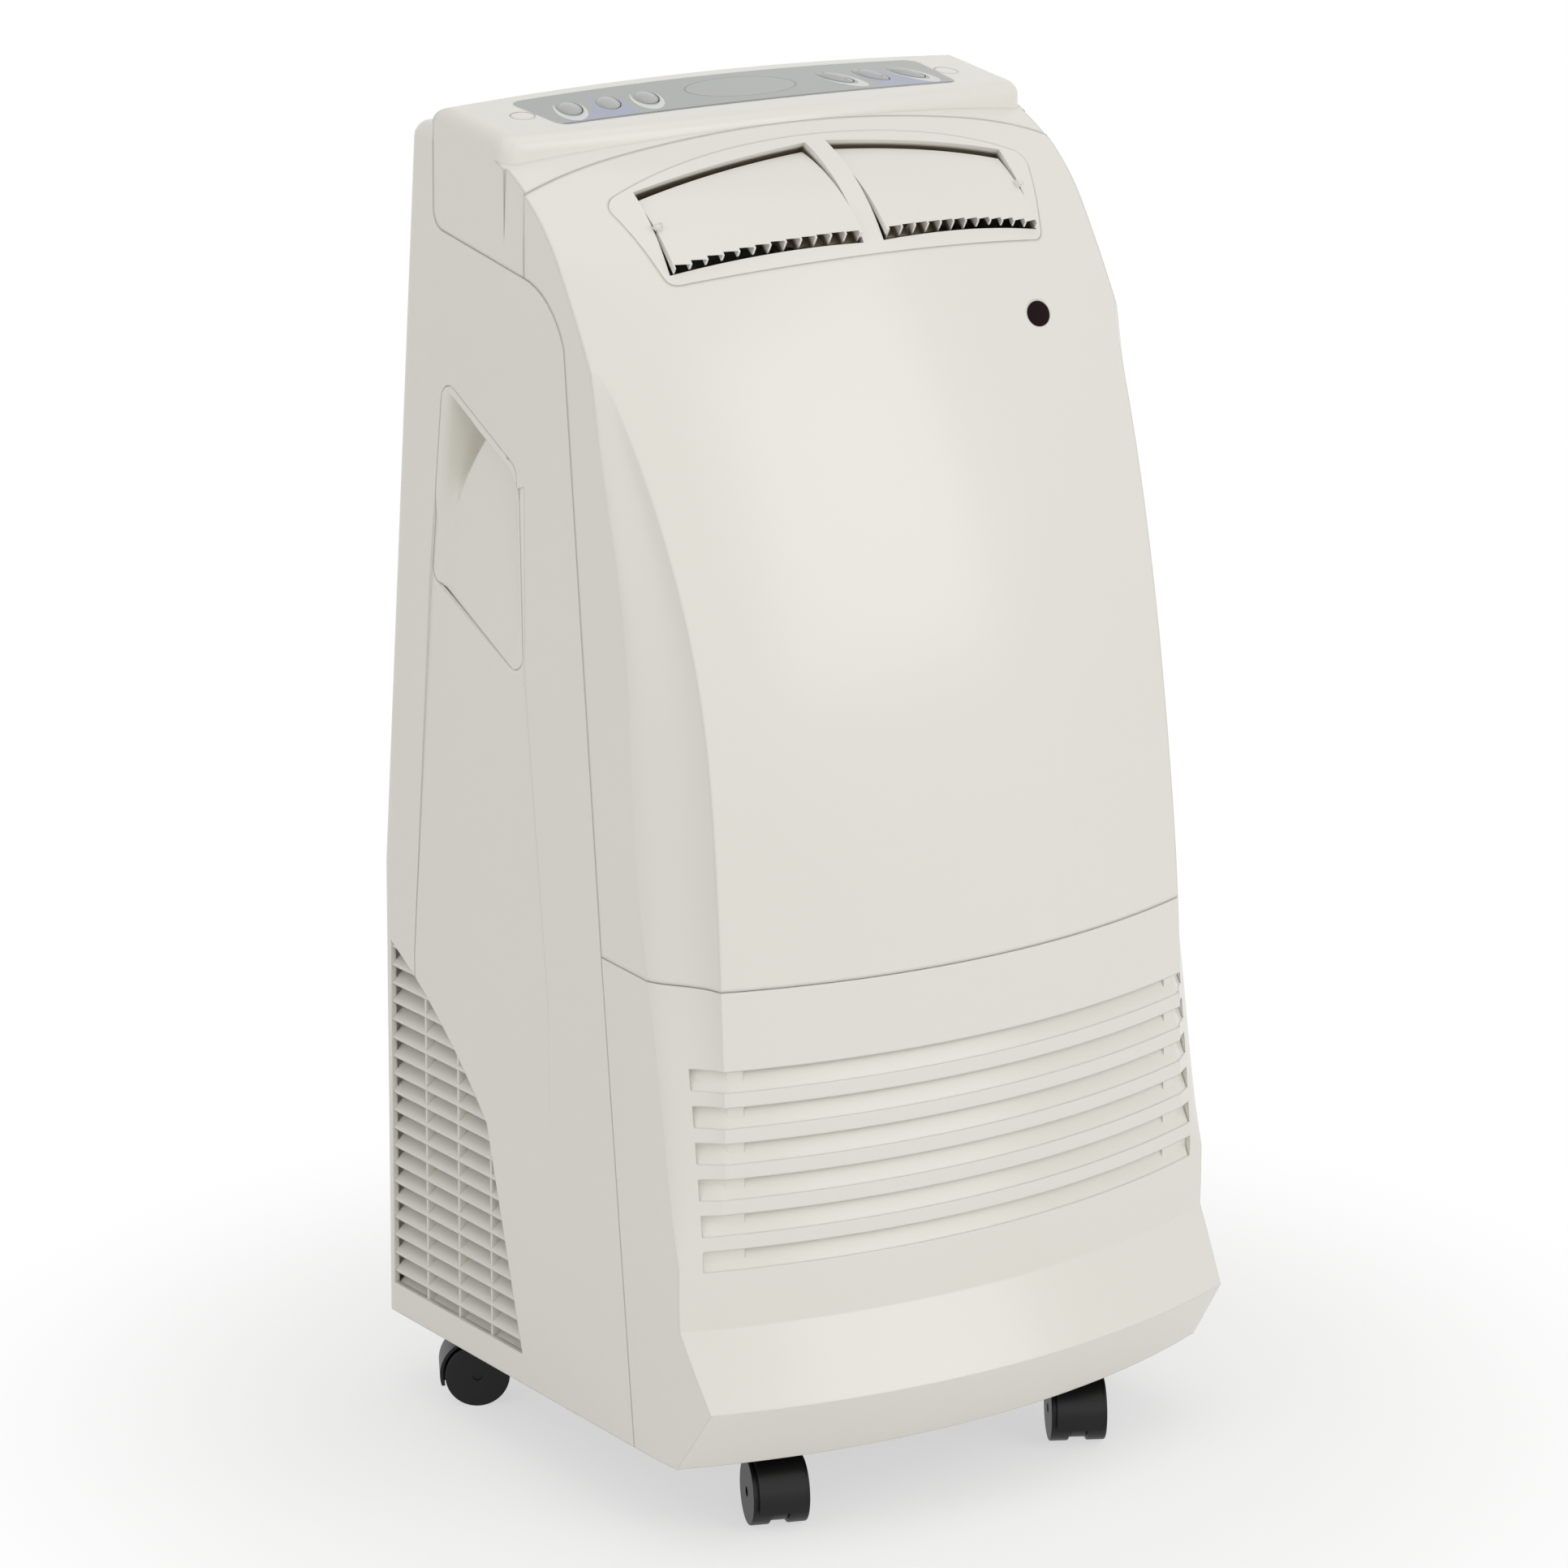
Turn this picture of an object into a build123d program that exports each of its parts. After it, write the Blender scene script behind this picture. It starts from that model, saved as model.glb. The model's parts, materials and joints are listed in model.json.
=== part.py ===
"""Portable air conditioner on four swivel casters, as separate moulded and metal pieces.

Millimetres. +Z up, the front faces -Y, +X is to the right seen from the front.
The origin is on the floor under the middle of the housing.
"""
import os
from math import atan2, cos, radians, sin, sqrt, tan

from build123d import *

os.makedirs("parts", exist_ok=True)

# Driving dimensions of the housing
overall_depth = 389.0
base_width = 385.6
top_width = 372.0
ground_clearance = 50.0
body_height = 750.0
wall = 3.5
seam_gap = 0.6
rear_corner_radius = 10.0

# Front face, from the chin up to the roof; heights are above the skirt edge
bow_radius = 512.0
lip_reach = 23.0
chin_undercut = 26.5
lip_height = 42.0
crease_height = 86.0
face_height = 166.0
seam_height = 283.0
waist_height = 416.0
brow_drop = 62.0
roof_drop = 10.0
waist_lean = 8.65
brow_lean = 30.7
roof_lean = 69.0
roof_run = 21.0

# Ogee bevel down the two front corners
bevel_inset = 25.5
bevel_run = 41.0
bevel_fade = 95.0
bevel_lead = 1.2
lip_corner_inset = 10.5
lip_corner_run = 72.0

# Rear wall
rear_kink_height = 290.0
rear_lean_run = 42.0
rear_panel_width = 330.0

# Top cover
cap_wall_bow = 800.0
cap_rear_margin = 27.0
cap_front_rise = 4.5
cap_slope = 7.5
cap_root = 40.0
crease_depth = 2.0
crease_run = 21.0
crease_fall = 52.0
crown_radius = 2850.0
cap_corner_radius = 14.0
cap_roll_radius = 9.0
apron_drop = 59.0
apron_fall = 16.0
apron_radius = 12.0

# Side seam between front panels and side panel
side_seam_foot = 83.5
side_seam_waist = 118.5
side_seam_rise = 8.0
side_seam_shoulder = 42.0
shoulder_drop = 110.0

# Front air louvres
louvre_count = 6
louvre_pitch = 21.4
louvre_gap = 12.4
louvre_top_height = 240.6
louvre_width = 356.0
louvre_depth = 22.0
louvre_blade = 3.0
louvre_slope = 30.0

# Air outlet on the brow, measured on a plane square to it
bezel_top_width = 300.0
bezel_bottom_width = 264.0
bezel_top_middle = 46.0
bezel_top_end = 22.0
bezel_bottom_middle = 46.0
bezel_bottom_end = 38.0
bezel_corner = 9.0
mullion_width = 14.0
flap_outer = 130.0
flap_top_inner = 38.5
flap_top_outer = 24.0
flap_bottom_inner = 39.0
flap_bottom_outer = 32.0
flap_side_gap = 1.5
flap_top_gap = 4.0
flap_rest_tilt = 9.0
flap_pin_radius = 2.5
flap_pin_depth = 14.0
flap_pin_drop = 4.0
running_clearance = 0.06
vane_count = 11
vane_thickness = 1.2
vane_depth = 6.0
vane_length = 24.0
duct_wall = 5.0
duct_depth = 34.0

# Control panel on the top cover
overlay_front_width = 283.0
overlay_rear_width = 291.5
overlay_depth = 52.0
overlay_bow = 5.0
overlay_margin = 29.0
overlay_corner = 8.0
overlay_thickness = 0.8
display_width = 77.0
display_depth = 38.0
display_thickness = 2.0
display_setback = 54.0
left_button_centre = -93.0
right_button_centre = 95.0
button_pitch = 26.5
button_setback = 54.0
button_size = (14.0, 26.0)
button_turn = 21.0
button_rise = 1.2
button_gap = 0.45
button_length = 7.0
button_flange = 1.6
plug_radius = 6.9
plug_depth = 1.5
plug_spread = 303.0
plug_setback = 55.0

# Receiver window on the upper front panel
lens_width = 20.0
lens_depth = 14.0
lens_offset = 109.0
lens_drop = 113.0

# Handles in the side panels; heights hang from the housing top
handle_setback = 69.5
handle_width = 91.0
handle_front_lean = 2.5
handle_rear_lean = 8.0
handle_top_drop = 146.0
handle_bottom_drop = 314.0
handle_slant_top = 41.0
handle_slant_bottom = 44.0
handle_corner = 10.0
handle_rim = 8.0
handle_lip = 5.0
grip_depth = 38.0
grip_width = 46.0
grip_height = 66.0
slope_depth = 13.0
cup_wall = 2.5
band_depth = 2.0
band_fade_height = 150.0

# Side intake grilles
grille_rear_margin = 12.0
grille_width = 148.0
grille_bottom = 19.0
grille_height = 222.0
grille_shoulder_height = 154.0
grille_shoulder_width = 109.0
slat_count = 19
slat_depth = 12.0
slat_thickness = 1.6
slat_slope = 37.0
grille_column_count = 4
grille_rib = 2.0

# Rear panel fittings
exhaust_bore_radius = 62.0
exhaust_wall = 3.0
exhaust_length = 42.0
exhaust_flange = 8.0
exhaust_offset = -72.0
exhaust_height = 186.0
rear_slot_rows = 12
rear_slot_columns = 3
rear_slot_pitch = 16.0
rear_slot_height = 7.0
rear_slot_length = 78.0
rear_slot_rib = 9.0
rear_slot_base = 410.0
screw_head_radius = 3.6
screw_head_height = 2.0
screw_shank_radius = 1.6
screw_length = 9.0
gland_radius = 11.0
gland_bore_radius = 3.6
gland_offset = 122.0
gland_height = 42.0
drain_radius = 9.0
drain_offset = 70.0
drain_height = 26.0

# Base pan and casters
base_thickness = 3.5
tongue = 2.5
tongue_overlap = 12.0
ledge_width = 16.0
caster_spread_front = 226.0
caster_spread_rear = 288.0
caster_front_setback = 84.5
caster_rear_setback = 64.5
wheel_radius = 20.0
wheel_width = 11.5
wheel_gap = 1.0
caster_trail = 19.0
axle_radius = 3.0
hood_web = 9.0
hood_shell = 2.0
hood_width = 28.0
hood_drop = 7.0
hood_clearance = 1.2
stem_radius = 4.0
stem_length = 24.0
boss_wall = 5.0
hood_neck_radius = 9.0
mount_gap = 0.5

# Machinery inside
compressor_radius = 60.0
compressor_height = 205.0
compressor_offset = (90.0, 72.0)
grommet_radius = 9.0
grommet_height = 16.0
foot_circle = 64.0
coil_thickness = 36.0
condenser_size = (280.0, 236.0)
condenser_setback = 92.0
evaporator_size = (270.0, 215.0)
evaporator_inset = 61.5
fin_pitch = 20.0
fin_slot = 1.5
partition_height = 352.0
partition_thickness = 3.0
condenser_wheel_radius = 52.0
condenser_wheel_width = 58.0
condenser_wheel_centre = (78.0, 142.0)
evaporator_wheel_radius = 58.0
evaporator_wheel_width = 190.0
evaporator_wheel_centre = (26.0, 462.0)
wheel_blade_count = 20
wheel_blade = 1.5
wheel_ring = 10.0
shaft_radius = 5.0
scroll_gap = 6.0
scroll_growth = 7.0
scroll_wall = 2.0
motor_radius = 36.0
motor_length = 44.0
capacitor_radius = 20.0
capacitor_height = 86.0
board_depth = 16.0
board_size = (264.0, 34.0)
board_post_spread = 96.0
switch_radius = 2.5
board_thickness = 1.6
filter_thickness = 5.0
pipe_radius = 4.0
pipe_bend = 22.0

# Levels and lines that follow from the sizes above
skirt_z = ground_clearance
top_z = skirt_z + body_height
lip_y = -overall_depth / 2
rear_y = overall_depth / 2
face_y = lip_y + lip_reach
chin_y = lip_y + chin_undercut
bow_y = face_y + bow_radius
lip_z = skirt_z + lip_height
crease_z = skirt_z + crease_height
face_z = skirt_z + face_height
waist_z = skirt_z + waist_height
brow_z = top_z - brow_drop
roof_z = top_z - roof_drop
far = overall_depth + base_width
base_top_z = skirt_z + base_thickness
lean_angle = atan2(rear_lean_run, body_height - rear_kink_height)
partition_z = skirt_z + partition_height


def half_width(z):
    """Half the housing's width at a height: the sides lean in towards the top."""
    rise = (z - skirt_z) / body_height
    return (base_width - (base_width - top_width) * rise) / 2


def arc_centre(point, radius, lean):
    """Centre of a face arc that passes through a point with a given lean."""
    return (point[0] + radius * cos(radians(lean)), point[1] - radius * sin(radians(lean)))


def on_arc(centre, radius, lean):
    """Point (y, z) of a face arc where the face leans back by the given angle."""
    return (centre[0] - radius * cos(radians(lean)), centre[1] + radius * sin(radians(lean)))


# The front centre line is three tangent arcs: belly, chest and brow
belly_radius = (waist_z - face_z) / sin(radians(waist_lean))
belly_centre = arc_centre((face_y, face_z), belly_radius, 0)
waist_point = on_arc(belly_centre, belly_radius, waist_lean)
chest_radius = (brow_z - waist_z) / (sin(radians(brow_lean)) - sin(radians(waist_lean)))
chest_centre = arc_centre(waist_point, chest_radius, waist_lean)
brow_point = on_arc(chest_centre, chest_radius, brow_lean)
brow_radius = (roof_z - brow_z) / (sin(radians(roof_lean)) - sin(radians(brow_lean)))
brow_centre = arc_centre(brow_point, brow_radius, brow_lean)
roof_point = on_arc(brow_centre, brow_radius, roof_lean)
cap_seam_y = roof_point[0] + roof_run
cap_rear_y = rear_y - rear_lean_run - cap_rear_margin
bow_plane = Plane(origin=(0, bow_y, 0), x_dir=(0, 1, 0), z_dir=(1, 0, 0))
bow_axis = Axis((0, bow_y, 0), (0, 0, 1))


def front_y(z, x, inset=0.0):
    """Front face at a height and a distance from the middle, for the bevel and the lens."""
    if z < face_z:
        y = face_y + inset
    elif z < waist_z:
        radius = belly_radius - inset
        y = belly_centre[0] - sqrt(radius**2 - (z - belly_centre[1]) ** 2)
    elif z < brow_z:
        radius = chest_radius - inset
        y = chest_centre[0] - sqrt(radius**2 - (z - chest_centre[1]) ** 2)
    else:
        radius = brow_radius - inset
        y = brow_centre[0] - sqrt(radius**2 - (min(z, roof_z) - brow_centre[1]) ** 2)
    return bow_y - sqrt((bow_y - y) ** 2 - x**2)


def front_space(inset):
    """Everything in front of the bowed face, turned about the bow axis."""

    def at(point):
        return (bow_y - point[0], point[1])

    roof_end = roof_point[0] + far / 4
    roof_end_z = roof_z + (roof_end - roof_point[0]) / tan(radians(roof_lean))
    with BuildPart() as space:
        with BuildSketch(bow_plane):
            with BuildLine():
                chin = Polyline(
                    at((lip_y - far / 4, -far / 4)),
                    at((chin_y + inset, -far / 4)),
                    at((chin_y + inset, skirt_z)),
                    at((lip_y + inset, lip_z)),
                    at((face_y + inset, crease_z)),
                    at((face_y + inset, face_z)),
                )
                leans = (
                    (belly_centre, belly_radius, 0.0, waist_lean),
                    (chest_centre, chest_radius, waist_lean, brow_lean),
                    (brow_centre, brow_radius, brow_lean, roof_lean),
                )
                for centre, radius, low, high in leans:
                    ends = [at(on_arc(centre, radius - inset, a)) for a in (low, (low + high) / 2, high)]
                    last = ThreePointArc(*ends)
                roof_drop_z = inset / sin(radians(roof_lean))
                Polyline(
                    last @ 1,
                    at((roof_end, roof_end_z - roof_drop_z)),
                    at((roof_end, top_z + far)),
                    at((lip_y - far / 4, top_z + far)),
                    chin @ 0,
                )
            make_face()
        revolve(axis=bow_axis)
    return space.part


def bevel_space(inset):
    """The right front corner outside its ogee bevel, lofted through level sections."""
    bevel_top = body_height - bevel_fade
    middle = (waist_height + bevel_top) / 2
    fading = seam_height - crease_height
    levels = (
        (crease_height + 0.02 * fading, 1.0, 0.04, 0.0),
        (crease_height + 0.20 * fading, 1.0, 0.25, 0.15),
        (crease_height + 0.43 * fading, 1.0, 0.51, 0.5),
        (crease_height + 0.66 * fading, 1.0, 0.68, 0.8),
        (seam_height, 1.0, 0.92, 1.0),
        (waist_height, 1.03, 1.03, 1.0),
        (middle, 0.78, 0.68, 1.0),
        (bevel_top - 40.0, 0.40, 0.25, 1.0),
        (bevel_top + 12.0, -0.06, 0.05, 1.0),
    )
    with BuildPart() as space:
        for height, inset_share, run_share, crispness in levels:
            z = skirt_z + height
            side = half_width(z) - inset
            edge = side - bevel_inset * inset_share
            run = bevel_run * run_share
            fore = front_y(z, edge, inset)
            aft = fore + run * 1.15
            blend = (1 - crispness) * bevel_inset / 2
            inner_fore = front_y(z, edge - blend, inset)
            with BuildSketch(Plane.XY.offset(z)):
                with BuildLine():
                    ogee = Bezier(
                        (side + bevel_lead, aft),
                        (side, aft - run / 2),
                        (edge + blend / 2, fore + crispness * run / 2),
                        (edge - blend, inner_fore - bevel_lead - crispness * bevel_inset / 4),
                    )
                    Polyline(
                        ogee @ 1,
                        (edge, fore - far / 5),
                        (side + far / 10, fore - far / 5),
                        (side + far / 10, aft),
                        ogee @ 0,
                    )
                make_face()
        loft()
    return space.part


def lip_corner_space(inset):
    """The right front corner below the crease, where the side curves in towards the lip."""
    with BuildPart() as space:
        for height, share in ((-ground_clearance / 2, 1.0), (lip_height, 0.95), (face_height * 0.7, -0.12)):
            z = skirt_z + height
            side = half_width(z) - inset
            edge = side - lip_corner_inset * share
            aft = lip_y + chin_undercut + lip_corner_run
            with BuildSketch(Plane.XY.offset(z)):
                with BuildLine():
                    sweep_in = Bezier(
                        (side + bevel_lead / 2, aft),
                        (side + bevel_lead / 4, aft - lip_corner_run / 2),
                        (edge, lip_y),
                    )
                    Polyline(
                        sweep_in @ 1,
                        (edge, lip_y - far / 5),
                        (side + far / 10, lip_y - far / 5),
                        (side + far / 10, aft),
                        sweep_in @ 0,
                    )
                make_face()
        loft()
    return space.part


def housing_block(inset, floor_z):
    """Prism of the side view between the two leaning side walls, rounded at the rear."""
    kink_z = skirt_z + rear_kink_height
    crest_y = rear_y - rear_lean_run - inset + inset * tan(lean_angle)
    with BuildPart() as block:
        with BuildSketch(Plane.YZ) as outline:
            with BuildLine():
                Polyline(
                    (lip_y - far / 8, floor_z),
                    (rear_y - inset, floor_z),
                    (rear_y - inset, kink_z),
                    (crest_y, top_z - inset),
                    (lip_y - far / 8, top_z - inset),
                    close=True,
                )
            make_face()
            crest = outline.vertices().group_by(Axis.Y)[-1].sort_by(Axis.X)[-1]
            fillet(crest, rear_corner_radius - inset)
        extrude(amount=far / 2, both=True)
        with BuildSketch(Plane.XZ):
            low, high = skirt_z - ground_clearance, top_z + ground_clearance
            with BuildLine():
                Polyline(
                    (half_width(low) - inset, low),
                    (half_width(high) - inset, high),
                    (inset - half_width(high), high),
                    (inset - half_width(low), low),
                    close=True,
                )
            make_face()
        extrude(amount=far, both=True, mode=Mode.INTERSECT)
        upright = [
            edge
            for edge in block.edges()
            if edge.center().Y > rear_y - rear_lean_run - rear_corner_radius
            and abs(edge.center().X) > top_width / 3
            and edge.bounding_box().size.Z > rear_corner_radius
        ]
        fillet(upright, rear_corner_radius - inset)
    return block.part


def envelope(inset, floor_z):
    """Whole housing moved inwards by an inset, open or closed at the given floor."""
    bevel = bevel_space(inset)
    left_bevel = mirror(bevel, about=Plane.YZ)
    lip_corner = lip_corner_space(inset)
    left_lip_corner = mirror(lip_corner, about=Plane.YZ)
    with BuildPart() as body:
        add(housing_block(inset, floor_z))
        add(front_space(inset), mode=Mode.SUBTRACT)
        for corner in (bevel, left_bevel, lip_corner, left_lip_corner):
            add(corner, mode=Mode.SUBTRACT)
    return body.part


outer = envelope(0.0, skirt_z)
inner = envelope(wall, skirt_z - ground_clearance)
middle = envelope(wall / 2, skirt_z - ground_clearance)
core = envelope(wall + tongue, skirt_z - ground_clearance)
with BuildPart() as shell_build:
    add(outer)
    add(inner, mode=Mode.SUBTRACT)
shell = shell_build.part
with BuildPart() as lining_build:
    add(inner)
    add(core, mode=Mode.SUBTRACT)
lining = lining_build.part


def side_prism(*points):
    """Prism right across the housing, from a side-view outline of (y, z) points."""
    with BuildPart() as prism:
        with BuildSketch(Plane.YZ):
            with BuildLine():
                Polyline(*points, close=True)
            make_face()
        extrude(amount=far / 2, both=True)
    return prism.part


def slab(low_z, high_z):
    """Level slice of space across the whole housing."""
    with BuildPart() as slice_build:
        with Locations((0, 0, (low_z + high_z) / 2)):
            Box(far, far, high_z - low_z)
    return slice_build.part


def tall_box(x_low, x_high, y_low, y_high, z_low, z_high):
    """Box between given planes."""
    with BuildPart() as box_build:
        with Locations(((x_low + x_high) / 2, (y_low + y_high) / 2, (z_low + z_high) / 2)):
            Box(x_high - x_low, y_high - y_low, z_high - z_low)
    return box_build.part


def finish_piece(build, name):
    """Label a finished piece and write it."""
    build.part.label = name
    export_step(build.part, f"parts/{name}.step")


# Seam lines in the side view
half_gap = seam_gap / 2
seam_foot = (face_y + side_seam_foot, skirt_z)
seam_waist = (face_y + side_seam_waist, skirt_z + seam_height + side_seam_rise)
seam_shoulder = (cap_seam_y - side_seam_shoulder, top_z - shoulder_drop)
apron_front = (cap_seam_y, top_z - apron_drop - apron_fall)
apron_rear = (cap_rear_y, top_z - apron_drop)
shoulder_mid = (
    (seam_shoulder[0] + apron_front[0]) / 2 - wall,
    (seam_shoulder[1] + apron_front[1]) / 2 + 2 * wall,
)
seam_front = (lip_y - far / 8, skirt_z + seam_height - side_seam_rise / 4)


def moved(point, dy, dz):
    """A seam point shifted to one side of its gap."""
    return (point[0] + dy, point[1] + dz)


def upper_front_space():
    """Side view of the upper front panel: above the seam and before the side edge."""
    with BuildPart() as space:
        with BuildSketch(Plane.YZ):
            with BuildLine():
                waist_end = moved(seam_waist, -half_gap, half_gap)
                shoulder_end = moved(seam_shoulder, -half_gap, half_gap)
                apron_end = moved(apron_front, -half_gap, half_gap)
                Line(waist_end, shoulder_end)
                ThreePointArc(shoulder_end, moved(shoulder_mid, -half_gap, half_gap), apron_end)
                Polyline(
                    apron_end,
                    (apron_end[0], top_z + far / 8),
                    (lip_y - far / 8, top_z + far / 8),
                    moved(seam_front, 0, half_gap),
                    waist_end,
                )
            make_face()
        extrude(amount=far / 2, both=True)
    return space.part


def side_space():
    """Side view of a side panel: behind the front seam and below the cover's apron."""
    with BuildPart() as space:
        with BuildSketch(Plane.YZ):
            with BuildLine():
                foot_end = moved(seam_foot, half_gap, -far / 8)
                waist_end = moved(seam_waist, half_gap, 0)
                shoulder_end = moved(seam_shoulder, half_gap, -half_gap)
                apron_end = moved(apron_front, half_gap, -half_gap)
                rear_end = moved(apron_rear, half_gap, -half_gap)
                Polyline(foot_end, moved(seam_foot, half_gap, 0), waist_end, shoulder_end)
                ThreePointArc(shoulder_end, moved(shoulder_mid, half_gap, -half_gap), apron_end)
                corner = FilletPolyline(
                    apron_end,
                    rear_end,
                    (rear_end[0], top_z + far / 8),
                    radius=apron_radius,
                )
                Polyline(
                    corner @ 1,
                    (rear_y + far / 8, top_z + far / 8),
                    (rear_y + far / 8, foot_end[1]),
                    foot_end,
                )
            make_face()
        extrude(amount=far / 2, both=True)
    return space.part


# Air outlet plane, square to the middle of the brow
outlet_lean = (brow_lean + roof_lean) / 2
outlet_point = on_arc(brow_centre, brow_radius, outlet_lean)
outlet_plane = Plane(
    origin=(0, *outlet_point),
    x_dir=(1, 0, 0),
    z_dir=(0, -cos(radians(outlet_lean)), sin(radians(outlet_lean))),
)


def bezel_prism(shrink):
    """Prism of the bezel outline, square to the brow."""
    with BuildPart() as prism:
        with BuildSketch(outlet_plane) as outline:
            with BuildLine():
                top, bottom = bezel_top_width / 2 - shrink, bezel_bottom_width / 2 - shrink
                high, low = bezel_top_end - shrink, shrink - bezel_bottom_end
                ThreePointArc((-top, high), (0, bezel_top_middle - shrink), (top, high))
                Line((top, high), (bottom, low))
                ThreePointArc((bottom, low), (0, shrink - bezel_bottom_middle), (-bottom, low))
                Line((-bottom, low), (-top, high))
            make_face()
            fillet(outline.vertices(), bezel_corner - shrink)
        extrude(amount=far / 8, both=True)
    return prism.part


def flap_prism(grow, top_grow, depth):
    """Prism of the right flap's outline, grown by a gap all round, down to a depth."""
    with BuildPart() as prism:
        with BuildSketch(outlet_plane):
            with BuildLine():
                Polyline(
                    (mullion_width / 2 - grow, flap_top_inner + top_grow),
                    (flap_outer + grow, flap_top_outer + top_grow),
                    (flap_outer + grow, -flap_bottom_outer - grow),
                    (mullion_width / 2 - grow, -flap_bottom_inner - grow),
                    close=True,
                )
            make_face()
        extrude(amount=far / 8)
        extrude(outlet_plane_face(prism), amount=depth)
    return prism.part


def outlet_plane_face(prism):
    """Face of a prism that lies in the outlet plane, turned inwards."""
    return prism.faces().sort_by(Axis(outlet_plane.origin, outlet_plane.z_dir))[0]


# Upper front panel with the outlet window and the receiver hole
lens_z = top_z - lens_drop
lens_y = front_y(lens_z, lens_offset)
lens_plane = Plane(origin=(lens_offset, lens_y, lens_z), x_dir=(1, 0, 0), z_dir=(0, -1, 0))


def lens_prism(grow):
    """Oval prism of the receiver window along the line of sight to the room."""
    with BuildPart() as prism:
        with BuildSketch(lens_plane):
            Ellipse(lens_width / 2 + grow, lens_depth / 2 + grow)
        extrude(amount=far / 16, both=True)
    return prism.part


with BuildPart() as upper_front_panel:
    add(shell)
    add(upper_front_space(), mode=Mode.INTERSECT)
    add(bezel_prism(0.0), mode=Mode.SUBTRACT)
    add(lens_prism(0.0), mode=Mode.SUBTRACT)
finish_piece(upper_front_panel, "upper_front_panel")

with BuildPart() as ir_lens:
    add(lining)
    add(lens_prism(tongue), mode=Mode.INTERSECT)
    with BuildPart(mode=Mode.PRIVATE) as lens_face:
        add(shell)
        add(lens_prism(-half_gap / 2), mode=Mode.INTERSECT)
    add(lens_face.part)
finish_piece(ir_lens, "ir_lens")

# Outlet frame: bezel, mullion and the two short ducts that carry the flap pins
pin_point = outlet_plane.from_local_coords((0, -flap_pin_drop, -flap_pin_depth))
pin_axis = Axis(pin_point, (1, 0, 0))


def pin_rod(radius, x_low, x_high):
    """Round rod along the flap axis."""
    with BuildPart() as rod:
        with Locations(Location(((x_low + x_high) / 2, pin_point.Y, pin_point.Z), (0, 90, 0))):
            Cylinder(radius, x_high - x_low)
    return rod.part


flap_low_x = mullion_width / 2 + 2 * flap_side_gap
flap_high_x = flap_outer - flap_side_gap
pin_low_x = mullion_width / 2 - duct_wall / 2
pin_high_x = flap_outer + duct_wall / 2
right_window = flap_prism(0.0, 0.0, duct_depth + duct_wall)
left_window = mirror(right_window, about=Plane.YZ)
right_duct = flap_prism(duct_wall, duct_wall, duct_depth)
with BuildPart() as duct_pair:
    add(right_duct)
    add(mirror(right_duct, about=Plane.YZ))
    add(core, mode=Mode.INTERSECT)
with BuildPart() as bezel_plate:
    add(outer)
    add(core, mode=Mode.SUBTRACT)
    add(bezel_prism(half_gap / 2), mode=Mode.INTERSECT)
    add(inner, mode=Mode.SUBTRACT)
with BuildPart() as vent_frame:
    add(lining)
    add(bezel_prism(-duct_wall), mode=Mode.INTERSECT)
    add(bezel_plate.part)
    add(duct_pair.part)
    add(right_window, mode=Mode.SUBTRACT)
    add(left_window, mode=Mode.SUBTRACT)
    for side in (1, -1):
        rod = pin_rod(flap_pin_radius + running_clearance, pin_low_x, pin_high_x)
        add(rod if side > 0 else mirror(rod, about=Plane.YZ), mode=Mode.SUBTRACT)
finish_piece(vent_frame, "vent_frame")

# Flap: curved plate, comb of vanes behind its lower edge, cheeks and pins
comb_front = flap_high_x - flap_low_x
with BuildPart() as flap_plate:
    add(shell)
    add(flap_prism(-flap_side_gap, -flap_top_gap, duct_depth), mode=Mode.INTERSECT)
with BuildPart() as flap_comb:
    with BuildSketch(outlet_plane.offset(-flap_pin_depth - flap_pin_radius)):
        with BuildLine():
            low_inner = -flap_bottom_inner + flap_side_gap
            low_outer = -flap_bottom_outer + flap_side_gap
            Polyline(
                (flap_low_x, low_inner),
                (flap_high_x, low_outer),
                (flap_high_x, low_outer + vane_length),
                (flap_low_x, low_inner + vane_length),
                close=True,
            )
        make_face()
    extrude(amount=far / 8)
    add(outer, mode=Mode.INTERSECT)
with BuildPart() as vane_depth_space:
    add(outer.moved(Location(-outlet_plane.z_dir * (wall + vane_depth))))
with BuildPart() as comb_holes:
    pitch = comb_front / (vane_count + 1)
    with BuildSketch(outlet_plane.offset(-far / 8)):
        for number in range(vane_count + 1):
            with Locations((flap_low_x + pitch * (number + 0.5), 0)):
                Rectangle(pitch - vane_thickness, far / 4)
    extrude(amount=far / 4)
    add(inner, mode=Mode.INTERSECT)
    add(vane_depth_space.part, mode=Mode.SUBTRACT)
with BuildPart() as flap_cheeks:
    with BuildSketch(outlet_plane.offset(-flap_pin_depth - 2 * flap_pin_radius)):
        for x in (flap_low_x + flap_pin_radius / 2, flap_high_x - flap_pin_radius / 2):
            with Locations((x, -flap_pin_drop)):
                Rectangle(flap_pin_radius, 4 * flap_pin_radius)
    extrude(amount=far / 8)
    add(inner, mode=Mode.INTERSECT)
with BuildPart() as flap_flush:
    add(flap_comb.part)
    add(vane_depth_space.part.moved(Location(-outlet_plane.z_dir * vane_thickness)), mode=Mode.SUBTRACT)
    add(comb_holes.part, mode=Mode.SUBTRACT)
    add(flap_plate.part)
    add(flap_cheeks.part)
    add(pin_rod(flap_pin_radius, pin_low_x + flap_side_gap, flap_low_x + flap_pin_radius))
    add(pin_rod(flap_pin_radius, flap_high_x - flap_pin_radius, pin_high_x - flap_side_gap))
with BuildPart() as right_flap:
    add(flap_flush.part.rotate(pin_axis, -flap_rest_tilt))
finish_piece(right_flap, "right_flap")
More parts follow.
